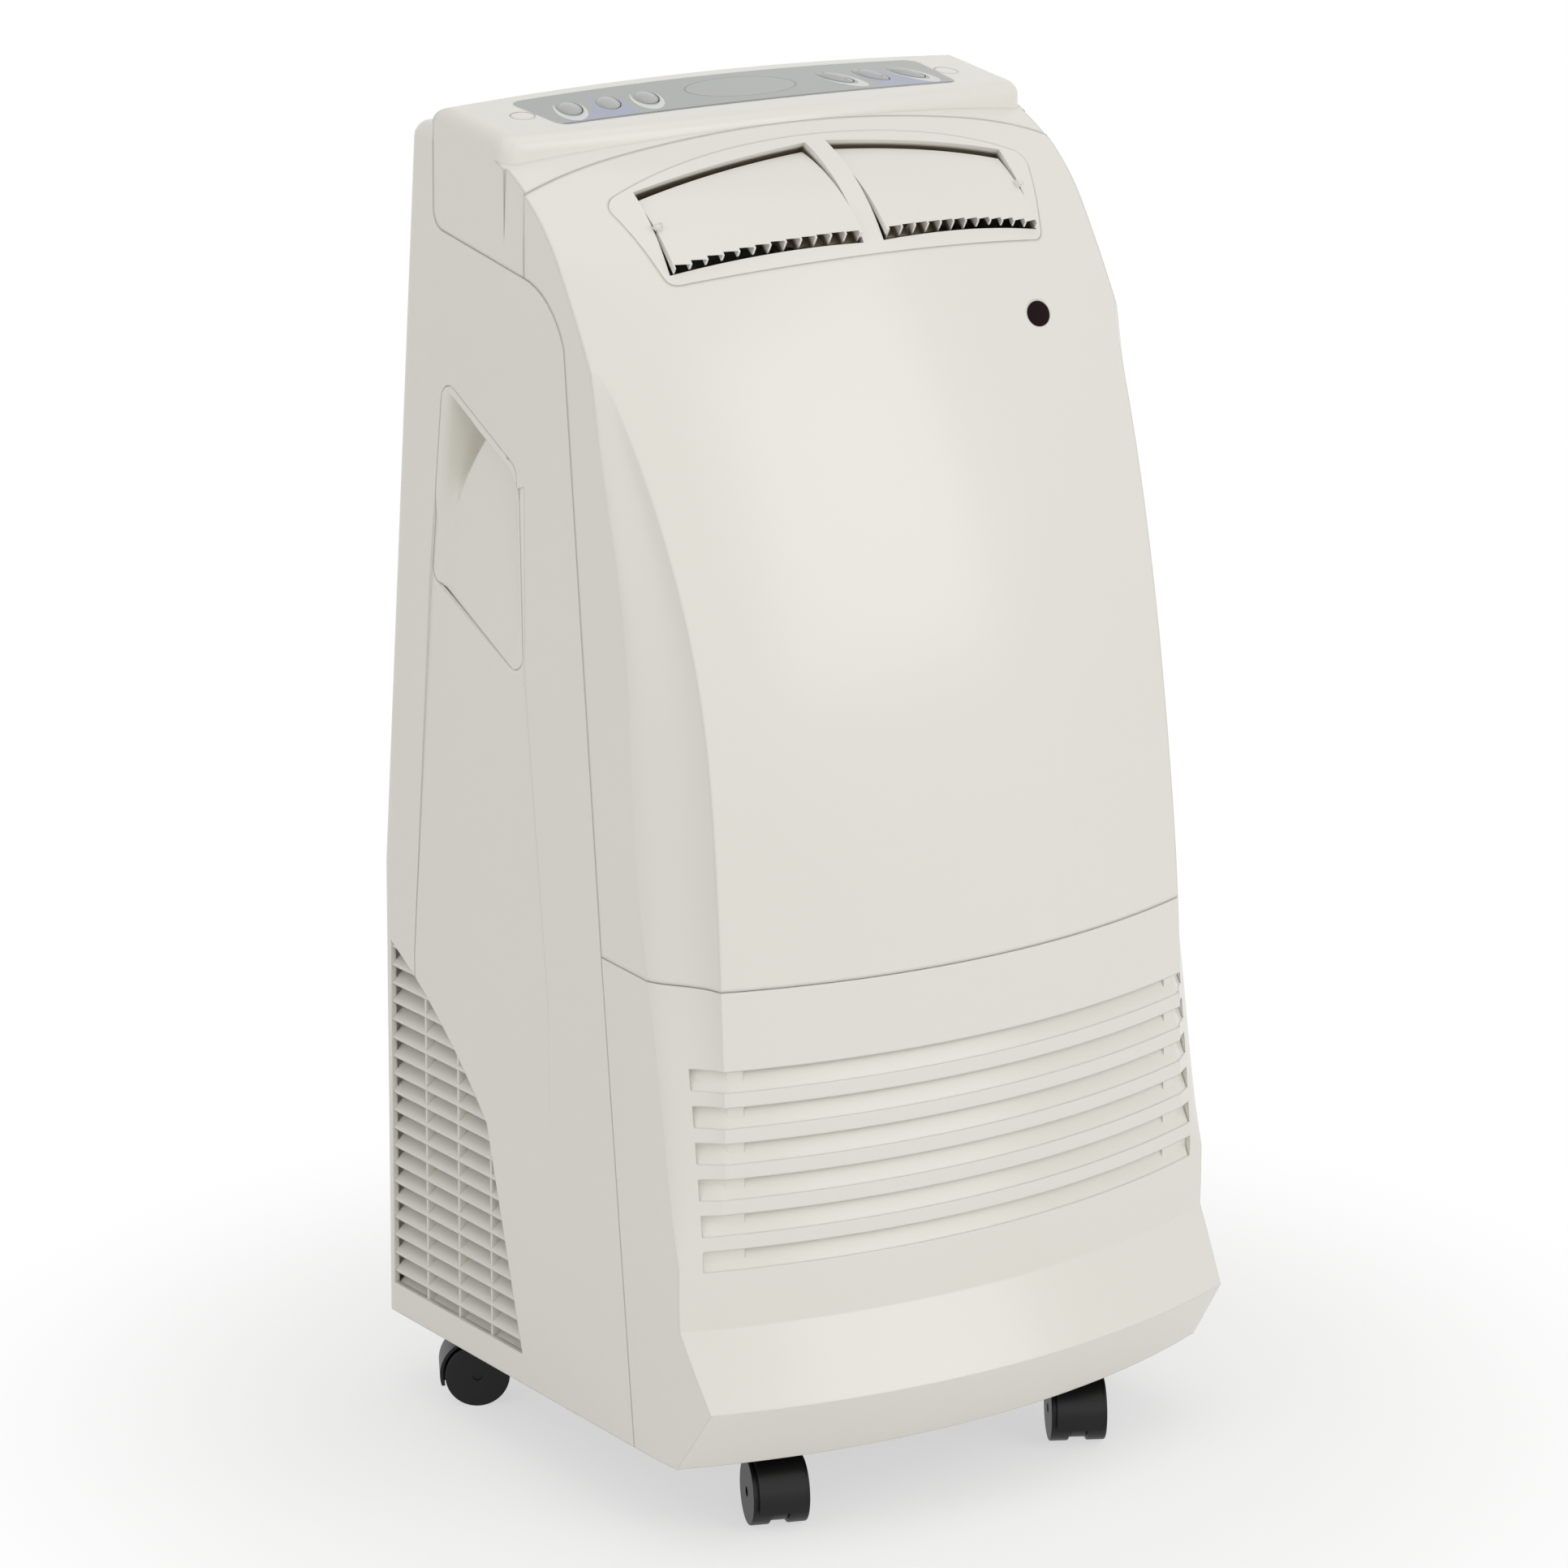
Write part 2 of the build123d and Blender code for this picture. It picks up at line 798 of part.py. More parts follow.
with BuildPart() as left_flap:
    add(mirror(right_flap.part, about=Plane.YZ))
finish_piece(left_flap, "left_flap")

# Lower front panel with wrap-round louvres, a ledge on the base and a tongue under the seam
lower_front_space = side_prism(
    moved(seam_foot, -half_gap, -far / 8),
    moved(seam_foot, -half_gap, 0),
    moved(seam_waist, -half_gap, -half_gap),
    moved(seam_front, 0, -half_gap),
    (seam_front[0], skirt_z - far / 8),
)
louvre_tops = [skirt_z + louvre_top_height - louvre_pitch * n for n in range(louvre_count)]
face_r = bow_y - face_y
with BuildPart() as louvre_slots:
    with BuildSketch(bow_plane):
        for high in louvre_tops:
            with Locations((face_r, high - louvre_gap / 2)):
                Rectangle(4 * louvre_depth, louvre_gap)
    revolve(axis=bow_axis)
    add(
        tall_box(-louvre_width / 2, louvre_width / 2, lip_y, seam_foot[0], skirt_z, top_z),
        mode=Mode.INTERSECT,
    )
with BuildPart() as louvre_blades:
    climb = louvre_depth * tan(radians(louvre_slope))
    with BuildSketch(bow_plane):
        for high in louvre_tops:
            floor = high - louvre_gap
            with BuildLine():
                Polyline(
                    (face_r, floor),
                    (face_r - wall, floor),
                    (face_r - wall - louvre_depth, floor + climb),
                    (face_r - wall - louvre_depth, floor + climb - louvre_blade),
                    (face_r - wall, floor - louvre_blade),
                    (face_r, floor - louvre_blade),
                    close=True,
                )
            make_face()
    revolve(axis=bow_axis)
    add(
        tall_box(-louvre_width / 2, louvre_width / 2, lip_y, seam_foot[0], skirt_z, top_z),
        mode=Mode.INTERSECT,
    )
    add(middle, mode=Mode.INTERSECT)
with BuildPart() as lower_front_panel:
    add(shell)
    add(lower_front_space, mode=Mode.INTERSECT)
    add(louvre_slots.part, mode=Mode.SUBTRACT)
    add(louvre_blades.part)
    for side in (1, -1):
        with BuildPart(mode=Mode.PRIVATE) as slot_back:
            ends = sorted((side * (louvre_width / 2 - bevel_inset), side * (louvre_width / 2 + wall)))
            floor, ceiling = louvre_tops[-1] - louvre_gap - wall, louvre_tops[0] + wall
            add(lining)
            add(tall_box(*ends, lip_y, seam_foot[0], floor, ceiling), mode=Mode.INTERSECT)
        add(slot_back.part)
    with BuildPart(mode=Mode.PRIVATE) as front_ledge:
        add(inner)
        add(slab(base_top_z, base_top_z + base_thickness), mode=Mode.INTERSECT)
        add(tall_box(-far, far, lip_y, chin_y + wall + ledge_width, 0, top_z), mode=Mode.INTERSECT)
    add(front_ledge.part)
    with BuildPart(mode=Mode.PRIVATE) as front_tongue:
        add(lining)
        seam_mid_z = skirt_z + seam_height
        add(slab(seam_mid_z - tongue_overlap, seam_mid_z + tongue_overlap), mode=Mode.INTERSECT)
        add(tall_box(-top_width / 3, top_width / 3, lip_y, 0, 0, top_z), mode=Mode.INTERSECT)
    add(front_tongue.part)
finish_piece(lower_front_panel, "lower_front_panel")

# Side panels: intake grille, handle opening and the shallow band below it
handle_rear_y = rear_y - handle_setback
handle_front_y = handle_rear_y - handle_width
handle_top_z = top_z - handle_top_drop
handle_bottom_z = top_z - handle_bottom_drop


def handle_prism(grow):
    """Prism of the handle outline, grown or shrunk all round, right across the housing."""
    with BuildPart() as prism:
        with BuildSketch(Plane.YZ) as outline:
            with BuildLine():
                Polyline(
                    (handle_front_y - handle_front_lean, handle_bottom_z),
                    (handle_front_y + handle_front_lean, handle_top_z - handle_slant_top),
                    (handle_rear_y - handle_rear_lean, handle_top_z),
                    (handle_rear_y + handle_rear_lean, handle_bottom_z + handle_slant_bottom),
                    close=True,
                )
            make_face()
            offset(amount=grow, kind=Kind.INTERSECTION, mode=Mode.REPLACE)
            fillet(outline.vertices(), handle_corner + grow / 3)
        extrude(amount=far / 2, both=True)
    return prism.part


def side_wedge(low_z, high_z, low_depth, high_depth):
    """Space outside the right side wall, cut in to a depth that changes with height."""
    with BuildPart() as wedge:
        with BuildSketch(Plane.XZ):
            with BuildLine():
                Polyline(
                    (half_width(low_z) - low_depth, low_z),
                    (half_width(high_z) - high_depth, high_z),
                    (base_width, high_z),
                    (base_width, low_z),
                    close=True,
                )
            make_face()
        extrude(amount=far, both=True)
    return wedge.part


grille_rear = rear_y - grille_rear_margin
grille_low_z = skirt_z + grille_bottom
grille_high_z = grille_low_z + grille_height


def grille_prism(grow):
    """Prism of the right side grille's outline."""
    with BuildPart() as prism:
        with BuildSketch(Plane.YZ):
            with BuildLine():
                front_low = (grille_rear - grille_width - grow, grille_low_z - grow)
                shoulder = (grille_rear - grille_shoulder_width - grow, skirt_z + grille_shoulder_height)
                crown = (grille_rear + grow, grille_high_z + grow)
                belly = (
                    (shoulder[0] + crown[0]) / 2 - grille_rib,
                    (shoulder[1] + crown[1]) / 2 + 3 * grille_rib,
                )
                ThreePointArc(shoulder, belly, crown)
                Polyline(crown, (crown[0], front_low[1]), front_low, shoulder)
            make_face()
        extrude(amount=far / 2)
    return prism.part


with BuildPart() as grille_bars:
    slat_pitch = grille_height / slat_count
    slat_rise = slat_depth * tan(radians(slat_slope))
    with BuildSketch(Plane.XZ):
        for number in range(slat_count + 1):
            z = grille_low_z + slat_pitch * number - slat_rise / 2
            face = half_width(z) - slat_thickness / 2
            with BuildLine():
                Polyline(
                    (face, z),
                    (face - slat_depth, z + slat_rise),
                    (face - slat_depth, z + slat_rise + slat_thickness),
                    (face, z + slat_thickness),
                    close=True,
                )
            make_face()
    extrude(amount=far, both=True)
    column = grille_width / grille_column_count
    for number in range(1, grille_column_count):
        rib_y = grille_rear - column * number
        with BuildSketch(Plane.XZ.offset(-rib_y)):
            with BuildLine():
                face = half_width(grille_low_z) - slat_thickness
                lean = half_width(grille_low_z) - half_width(grille_high_z)
                Polyline(
                    (face, grille_low_z - grille_rib),
                    (face - lean, grille_high_z + grille_rib),
                    (face - lean - slat_depth / 2, grille_high_z + grille_rib),
                    (face - slat_depth / 2, grille_low_z - grille_rib),
                    close=True,
                )
            make_face()
        extrude(amount=grille_rib / 2, both=True)
    add(grille_prism(grille_rib / 2), mode=Mode.INTERSECT)


def seam_band(reach):
    """Strip of the side view along the side seam, from foot to shoulder."""
    return side_prism(
        (seam_foot[0] - reach, base_top_z),
        (seam_waist[0] - reach, seam_waist[1]),
        (seam_shoulder[0] - reach, seam_shoulder[1] - 2 * reach),
        (seam_shoulder[0] + reach, seam_shoulder[1] - 2 * reach),
        (seam_waist[0] + reach, seam_waist[1]),
        (seam_foot[0] + reach, base_top_z),
    )


def apron_band(reach):
    """Strip of the side view along the lower edge of the cover's apron."""
    start, end = apron_front[0] + 2 * reach, apron_rear[0] - 2 * reach
    return side_prism(
        (start, apron_front[1] - reach),
        (end, apron_rear[1] - reach),
        (end, apron_rear[1] + reach),
        (start, apron_front[1] + 2 * reach),
    )


band_low_z = skirt_z + band_fade_height
right_half = tall_box(0, far, -far, far, -far, far + top_z)
rear_cut = rear_panel_width / 2
with BuildPart() as handle_band:
    add(
        side_prism(
            (handle_front_y - handle_front_lean - wall, handle_top_z - handle_slant_top - handle_corner),
            (handle_front_y - handle_front_lean - wall, handle_bottom_z),
            (handle_front_y - handle_width / 3, band_low_z + handle_width),
            (handle_front_y - handle_width / 3, band_low_z),
            (handle_rear_y + handle_width / 3, band_low_z),
            (handle_rear_y + handle_width / 3, band_low_z + handle_width),
            (handle_rear_y + handle_rear_lean, handle_bottom_z + handle_slant_bottom),
            (handle_rear_y, handle_bottom_z + 2 * handle_slant_bottom),
        )
    )
    add(side_wedge(band_low_z, handle_top_z, 0.0, band_depth), mode=Mode.INTERSECT)
with BuildPart() as right_side_panel:
    add(shell)
    add(side_space(), mode=Mode.INTERSECT)
    add(right_half, mode=Mode.INTERSECT)
    add(tall_box(0, rear_cut + half_gap, 0, far, -far, far + top_z), mode=Mode.SUBTRACT)
    add(handle_band.part, mode=Mode.SUBTRACT)
    add(grille_prism(0.0), mode=Mode.SUBTRACT)
    add(grille_bars.part)
    for band in (seam_band(tongue_overlap), apron_band(tongue_overlap)):
        with BuildPart(mode=Mode.PRIVATE) as side_tongue:
            add(lining)
            add(band, mode=Mode.INTERSECT)
            add(right_half, mode=Mode.INTERSECT)
        add(side_tongue.part)
    with BuildPart(mode=Mode.PRIVATE) as rear_flange:
        add(lining)
        flange_low, flange_high = rear_cut - tongue_overlap, rear_cut + tongue_overlap
        flange_top = top_z - 2 * tongue_overlap
        add(
            tall_box(flange_low, flange_high, cap_rear_y, far, base_top_z, flange_top),
            mode=Mode.INTERSECT,
        )
    add(rear_flange.part)
    with BuildPart(mode=Mode.PRIVATE) as side_ledge:
        add(inner)
        ledge_x = base_width / 2 - wall - ledge_width
        ledge_rear = rear_y - wall - 2 * ledge_width
        add(
            tall_box(ledge_x, far, seam_foot[0] + 2, ledge_rear, base_top_z, base_top_z + base_thickness),
            mode=Mode.INTERSECT,
        )
    add(side_ledge.part)
    add(handle_prism(0.0), mode=Mode.SUBTRACT)

# Handle insert: rim flush with the side, sloping floor and a deep finger grip behind a ridge
grip_top = (handle_rear_y - handle_rear_lean - handle_rim, handle_top_z - handle_rim)


def grip_prism(grow):
    """Triangle of the side view behind the ridge of the handle."""
    return side_prism(
        (grip_top[0] - grip_width - grow, grip_top[1] + handle_rim - grow),
        (grip_top[0] + handle_width, grip_top[1] + handle_width),
        (grip_top[0] + handle_width / 2, grip_top[1] - grip_height * 1.6 - grow),
    )


slope_low_z = handle_bottom_z + handle_rim
with BuildPart() as palm_space:
    add(handle_prism(-handle_rim))
    add(side_wedge(slope_low_z, handle_top_z, 0.0, slope_depth), mode=Mode.INTERSECT)
with BuildPart() as grip_space:
    add(handle_prism(-handle_rim))
    add(grip_prism(0.0), mode=Mode.INTERSECT)
    add(side_wedge(slope_low_z, handle_top_z, grip_depth, grip_depth), mode=Mode.INTERSECT)
with BuildPart() as handle_cup:
    add(handle_prism(cup_wall - handle_rim))
    add(
        side_wedge(handle_bottom_z, handle_top_z, wall, slope_depth + cup_wall),
        mode=Mode.INTERSECT,
    )
    with BuildPart(mode=Mode.PRIVATE) as grip_cup:
        add(handle_prism(cup_wall - handle_rim))
        add(grip_prism(cup_wall), mode=Mode.INTERSECT)
        deep = grip_depth + cup_wall
        add(side_wedge(handle_bottom_z, handle_top_z, deep, deep), mode=Mode.INTERSECT)
    add(grip_cup.part)
    add(inner, mode=Mode.INTERSECT)
with BuildPart() as right_handle_insert:
    add(shell)
    add(handle_prism(-half_gap), mode=Mode.INTERSECT)
    add(right_half, mode=Mode.INTERSECT)
    add(handle_band.part, mode=Mode.SUBTRACT)
    with BuildPart(mode=Mode.PRIVATE) as insert_lip:
        add(lining)
        add(handle_prism(handle_lip), mode=Mode.INTERSECT)
        add(right_half, mode=Mode.INTERSECT)
    add(insert_lip.part)
    add(handle_cup.part)
    add(palm_space.part, mode=Mode.SUBTRACT)
    add(grip_space.part, mode=Mode.SUBTRACT)
finish_piece(right_handle_insert, "right_handle_insert")
with BuildPart() as left_side_panel:
    add(mirror(right_side_panel.part, about=Plane.YZ))
with BuildPart() as left_handle_insert:
    add(mirror(right_handle_insert.part, about=Plane.YZ))
finish_piece(left_handle_insert, "left_handle_insert")

# Rear panel: exhaust opening, intake slots, screw seats, gland and drain holes
exhaust_centre = (exhaust_offset, skirt_z + exhaust_height)
gland_centre = (gland_offset, skirt_z + gland_height)
drain_centre = (drain_offset, skirt_z + drain_height)


def rear_rod(centre, radius, y_low, y_high):
    """Round rod along the depth of the housing."""
    with BuildPart() as rod:
        with Locations(Location((centre[0], (y_low + y_high) / 2, centre[1]), (90, 0, 0))):
            Cylinder(radius, y_high - y_low)
    return rod.part


def rear_plane(x, height):
    """Plane on the rear face at a height, facing out of the housing."""
    over = max(0.0, height - rear_kink_height)
    y = rear_y - over * tan(lean_angle)
    tilt = lean_angle if over > 0 else 0.0
    return Plane(origin=(x, y, skirt_z + height), x_dir=(-1, 0, 0), z_dir=(0, cos(tilt), sin(tilt)))


screw_x = rear_cut - tongue_overlap / 2
screw_heights = (seam_height / 6, rear_kink_height - seam_height / 8, body_height - seam_height / 3)
screw_planes = [rear_plane(x, height) for x in (-screw_x, screw_x) for height in screw_heights]


def screw_solid(plane, grow):
    """Countersunk-flush pan screw on a plane, or its clearance hole."""
    with BuildPart() as screw:
        with BuildSketch(plane.offset(-screw_head_height)):
            Circle(screw_head_radius + 4 * grow)
        extrude(amount=screw_head_height)
        with BuildSketch(plane.offset(-screw_length)):
            Circle(screw_shank_radius + grow)
        extrude(amount=screw_length)
    return screw.part


with BuildPart() as rear_slots:
    slot_step = rear_slot_length + rear_slot_rib
    base_plane = rear_plane(0, rear_slot_base)
    with BuildSketch(base_plane.offset(-2 * wall)):
        for row in range(rear_slot_rows):
            for column in range(rear_slot_columns):
                x = (column - (rear_slot_columns - 1) / 2) * slot_step
                with Locations((x, row * rear_slot_pitch)):
                    SlotOverall(rear_slot_length, rear_slot_height)
    extrude(amount=4 * wall)
with BuildPart() as rear_panel:
    add(shell)
    add(tall_box(half_gap - rear_cut, rear_cut - half_gap, 0, far, 0, far + top_z), mode=Mode.INTERSECT)
    add(tall_box(-far, far, -far, cap_rear_y + half_gap, 0, far + top_z), mode=Mode.SUBTRACT)
    add(rear_slots.part, mode=Mode.SUBTRACT)
    with BuildPart(mode=Mode.PRIVATE) as rear_ledge:
        add(inner)
        ledge_reach = rear_cut - 2 * ledge_width
        add(
            tall_box(
                -ledge_reach, ledge_reach,
                rear_y - wall - ledge_width, far,
                base_top_z, base_top_z + base_thickness,
            ),
            mode=Mode.INTERSECT,
        )
    add(rear_ledge.part)
    add(rear_rod(exhaust_centre, exhaust_bore_radius + exhaust_wall, 0, far), mode=Mode.SUBTRACT)
    for centre, radius in ((gland_centre, gland_radius), (drain_centre, drain_radius)):
        add(rear_rod(centre, radius, rear_y - 2 * wall, far), mode=Mode.SUBTRACT)
        add(rear_rod(centre, radius + wall, rear_y - screw_head_height, far), mode=Mode.SUBTRACT)
    for plane in screw_planes:
        add(screw_solid(plane, running_clearance), mode=Mode.SUBTRACT)
finish_piece(rear_panel, "rear_panel")

with BuildPart() as right_panel_holes:
    for plane in screw_planes:
        add(screw_solid(plane, running_clearance))
for build, name in ((right_side_panel, "right_side_panel"), (left_side_panel, "left_side_panel")):
    with BuildPart() as drilled:
        add(build.part)
        add(right_panel_holes.part, mode=Mode.SUBTRACT)
    finish_piece(drilled, name)

with BuildPart() as rear_screws:
    for plane in screw_planes:
        add(screw_solid(plane, 0.0))
finish_piece(rear_screws, "rear_screws")

with BuildPart() as exhaust_collar:
    add(rear_rod(exhaust_centre, exhaust_bore_radius + exhaust_wall, rear_y - exhaust_length, rear_y))
    ring_radius = exhaust_bore_radius + exhaust_wall + exhaust_flange
    add(rear_rod(exhaust_centre, ring_radius, rear_y - wall - exhaust_wall, rear_y - wall))
    add(rear_rod(exhaust_centre, exhaust_bore_radius, 0, far), mode=Mode.SUBTRACT)
finish_piece(exhaust_collar, "exhaust_collar")

with BuildPart() as cord_gland:
    add(rear_rod(gland_centre, gland_radius, rear_y - 4 * wall, rear_y))
    add(rear_rod(gland_centre, gland_radius + wall - half_gap, rear_y - screw_head_height, rear_y))
    add(rear_rod(gland_centre, gland_bore_radius, 0, far), mode=Mode.SUBTRACT)
finish_piece(cord_gland, "cord_gland")

with BuildPart() as drain_plug:
    add(rear_rod(drain_centre, drain_radius, rear_y - 4 * wall, rear_y))
    add(rear_rod(drain_centre, drain_radius + wall - half_gap, rear_y - screw_head_height, rear_y))
finish_piece(drain_plug, "drain_plug")

# Top cover: crowned cap on a shelf, with an apron down each side
cap_tan = tan(radians(cap_slope))


def cap_top_z(y):
    """Height of the cap's middle line at a depth."""
    return top_z + cap_front_rise + (y - cap_seam_y) * cap_tan


def cap_block(inset, low_z):
    """Crowned cap moved inwards by an inset, with rolled edges."""
    start_y = cap_seam_y - far / 8
    crown_z = cap_top_z(start_y) - inset
    reach = base_width * 0.6
    sag = crown_radius - sqrt(crown_radius**2 - reach**2)
    with BuildPart() as block:
        with BuildSketch(Plane.XZ.offset(-start_y)):
            with BuildLine():
                ThreePointArc((-reach, crown_z - sag), (0, crown_z), (reach, crown_z - sag))
                Polyline(
                    (reach, crown_z - sag),
                    (reach, low_z - far / 8),
                    (-reach, low_z - far / 8),
                    (-reach, crown_z - sag),
                )
            make_face()
        slide = Vector(0, cos(radians(cap_slope)), sin(radians(cap_slope)))
        extrude(amount=far / 2, dir=slide)
        with BuildSketch(Plane.XZ):
            with BuildLine():
                high_z = top_z + ground_clearance
                Polyline(
                    (half_width(low_z) - inset, low_z),
                    (half_width(high_z) - inset, high_z),
                    (inset - half_width(high_z), high_z),
                    (inset - half_width(low_z), low_z),
                    close=True,
                )
            make_face()
        extrude(amount=far, both=True, mode=Mode.INTERSECT)
        with BuildSketch(Plane.XY.offset(low_z)):
            with Locations((0, cap_seam_y + cap_wall_bow)):
                Circle(cap_wall_bow - inset)
        extrude(amount=far / 2, mode=Mode.INTERSECT)
        add(
            tall_box(-far, far, -far, cap_rear_y - half_gap - inset, -far, far + top_z),
            mode=Mode.INTERSECT,
        )
        upright = [
            edge
            for edge in block.edges()
            if edge.bounding_box().size.Z > cap_root / 2 and edge.bounding_box().size.Y < wall
        ]
        front_corners = [edge for edge in upright if edge.center().Y < (cap_seam_y + cap_rear_y) / 2]
        fillet(front_corners, cap_corner_radius - inset)
        crown = block.faces().sort_by(Axis.Z)[-1]
        fillet(crown.edges(), cap_roll_radius - inset)
    return block.part


cap_outer = cap_block(0.0, top_z - cap_root)
cap_inner = cap_block(wall, top_z - 1.5 * cap_root)
with BuildPart() as cover_space:
    with BuildSketch(Plane.YZ):
        with BuildLine():
            front_end = moved(apron_front, half_gap, half_gap)
            rear_end = moved(apron_rear, -half_gap, half_gap)
            corner = FilletPolyline(
                front_end,
                rear_end,
                (rear_end[0], top_z + far / 8),
                radius=apron_radius,
            )
            Polyline(corner @ 1, (front_end[0], top_z + far / 8), front_end)
        make_face()
    extrude(amount=far / 2, both=True)

button_y = cap_seam_y + button_setback
top_normal = Vector(0, -sin(radians(cap_slope)), cos(radians(cap_slope)))
top_plane = Plane(origin=(0, button_y, cap_top_z(button_y)), x_dir=(1, 0, 0), z_dir=top_normal)


def plan_prism(sketch_plane, width, depth, centre, turn=0.0):
    """Oval prism through the cap, square to a sketch plane."""
    with BuildPart() as prism:
        with BuildSketch(sketch_plane):
            with Locations(Location((centre[0], centre[1], 0), (0, 0, turn))):
                Ellipse(width / 2, depth / 2)
        extrude(amount=far / 16, both=True)
    return prism.part


def cap_skin(depth):
    """Skin of the cap down to a depth below its surface."""
    with BuildPart() as skin:
        add(cap_outer)
        add(cap_outer.moved(Location((0, 0, -depth))), mode=Mode.SUBTRACT)
    return skin.part


with BuildPart() as overlay_prism:
    with BuildSketch(Plane.XY.offset(top_z - cap_root)) as overlay_outline:
        with BuildLine():
            front_edge_y = cap_seam_y + overlay_margin
            rear_edge_y = front_edge_y + overlay_depth
            front_left = (-overlay_front_width / 2, front_edge_y)
            front_right = (overlay_front_width / 2, front_edge_y)
            ThreePointArc(front_left, (0, front_edge_y - overlay_bow), front_right)
            Polyline(
                front_right,
                (overlay_rear_width / 2, rear_edge_y),
                (-overlay_rear_width / 2, rear_edge_y),
                front_left,
            )
        make_face()
        fillet(overlay_outline.vertices(), overlay_corner)
    extrude(amount=far / 4)
with BuildPart() as overlay_sheet:
    add(cap_skin(overlay_thickness))
    add(overlay_prism.part, mode=Mode.INTERSECT)
level_plane = Plane.XY.offset(top_z)
display_centre = (0, cap_seam_y + display_setback)
with BuildPart() as display_window:
    add(cap_skin(display_thickness))
    add(plan_prism(level_plane, display_width, display_depth, display_centre), mode=Mode.INTERSECT)
plug_places = [(x * plug_spread / 2, cap_seam_y + plug_setback) for x in (-1, 1)]
with BuildPart() as screw_plugs:
    for place in plug_places:
        with BuildPart(mode=Mode.PRIVATE) as plug:
            add(cap_skin(plug_depth))
            oval = plan_prism(level_plane, 2 * plug_radius, 2 * plug_radius, place)
            add(oval, mode=Mode.INTERSECT)
        add(plug.part)
buttons = {}
for group, centre, turn in (
    ("left", left_button_centre, -button_turn),
    ("right", right_button_centre, button_turn),
):
    for number in range(3):
        place = (centre + (number - 1) * button_pitch, 0)
        buttons[f"{group}_button_{number + 1}"] = (place, turn)
with BuildPart() as button_wells:
    for place, turn in buttons.values():
        width, depth = (length + 2 * button_gap for length in button_size)
        add(plan_prism(top_plane, width, depth, place, turn))
board_posts = [(x * board_post_spread / 2, y * board_size[1] / 3) for x in (-1, 1) for y in (-1, 1)]
with BuildPart() as top_cover:
    add(outer)
    add(cover_space.part, mode=Mode.INTERSECT)
    add(cap_outer)
    add(inner, mode=Mode.SUBTRACT)
    add(cap_inner, mode=Mode.SUBTRACT)
    with BuildPart(mode=Mode.PRIVATE) as cover_tongue:
        add(lining)
        add(
            tall_box(
                -top_width / 3, top_width / 3,
                cap_seam_y - wall, cap_seam_y + 2 * wall,
                top_z - cap_root, far + top_z,
            ),
            mode=Mode.INTERSECT,
        )
    add(cover_tongue.part)
    with BuildPart(mode=Mode.PRIVATE) as post_group:
        with BuildSketch(top_plane.offset(-board_depth)):
            with Locations(*board_posts):
                Circle(wall)
        extrude(amount=board_depth)
        add(cap_outer.moved(Location((0, 0, -wall / 2))), mode=Mode.INTERSECT)
    add(post_group.part)
    for side in (1, -1):
        with BuildPart(mode=Mode.PRIVATE) as crease:
            low_z, high_z = top_z - apron_drop, top_z - apron_drop + crease_fall
            add(side_wedge(low_z, high_z, 0.0, crease_depth))
            crease_rear = cap_seam_y + crease_run
            add(tall_box(0, far, 0, crease_rear, low_z, high_z), mode=Mode.INTERSECT)
        add(crease.part if side > 0 else mirror(crease.part, about=Plane.YZ), mode=Mode.SUBTRACT)
    add(overlay_sheet.part, mode=Mode.SUBTRACT)
    add(display_window.part, mode=Mode.SUBTRACT)
    add(screw_plugs.part, mode=Mode.SUBTRACT)
    add(button_wells.part, mode=Mode.SUBTRACT)
finish_piece(top_cover, "top_cover")
finish_piece(display_window, "display_window")
finish_piece(screw_plugs, "screw_plugs")
with BuildPart() as control_overlay:
    add(overlay_sheet.part)
    add(display_window.part, mode=Mode.SUBTRACT)
    add(button_wells.part, mode=Mode.SUBTRACT)
finish_piece(control_overlay, "control_overlay")

# Buttons: crowned oval caps with a retaining flange under the cover
raised_cap = cap_outer.moved(Location(top_normal * button_rise))
flange_cap = cap_inner.moved(Location(top_normal * -half_gap))
button_foot = top_plane.offset(-button_length - overlay_thickness)
for name, (place, turn) in buttons.items():
    with BuildPart() as button:
        with BuildSketch(button_foot):
            with Locations(Location((place[0], place[1], 0), (0, 0, turn))):
                Ellipse(button_size[0] / 2, button_size[1] / 2)
        extrude(amount=far / 16)
        add(raised_cap, mode=Mode.INTERSECT)
        with BuildPart(mode=Mode.PRIVATE) as flange:
            with BuildSketch(button_foot):
                with Locations(Location((place[0], place[1], 0), (0, 0, turn))):
                    Ellipse(button_size[0] / 2 + button_flange, button_size[1] / 2 + button_flange)
            extrude(amount=far / 16)
            add(flange_cap, mode=Mode.INTERSECT)
        add(flange.part)
    finish_piece(button, name)

with BuildPart() as control_board:
    with BuildSketch(top_plane.offset(-board_depth - board_thickness)):
        Rectangle(*board_size)
    extrude(amount=board_thickness)
    with BuildSketch(top_plane.offset(-board_depth)):
        for place, turn in buttons.values():
            with Locations(place):
                Circle(switch_radius)
    extrude(amount=board_depth - button_length - overlay_thickness - 2 * button_rise)
finish_piece(control_board, "control_board")

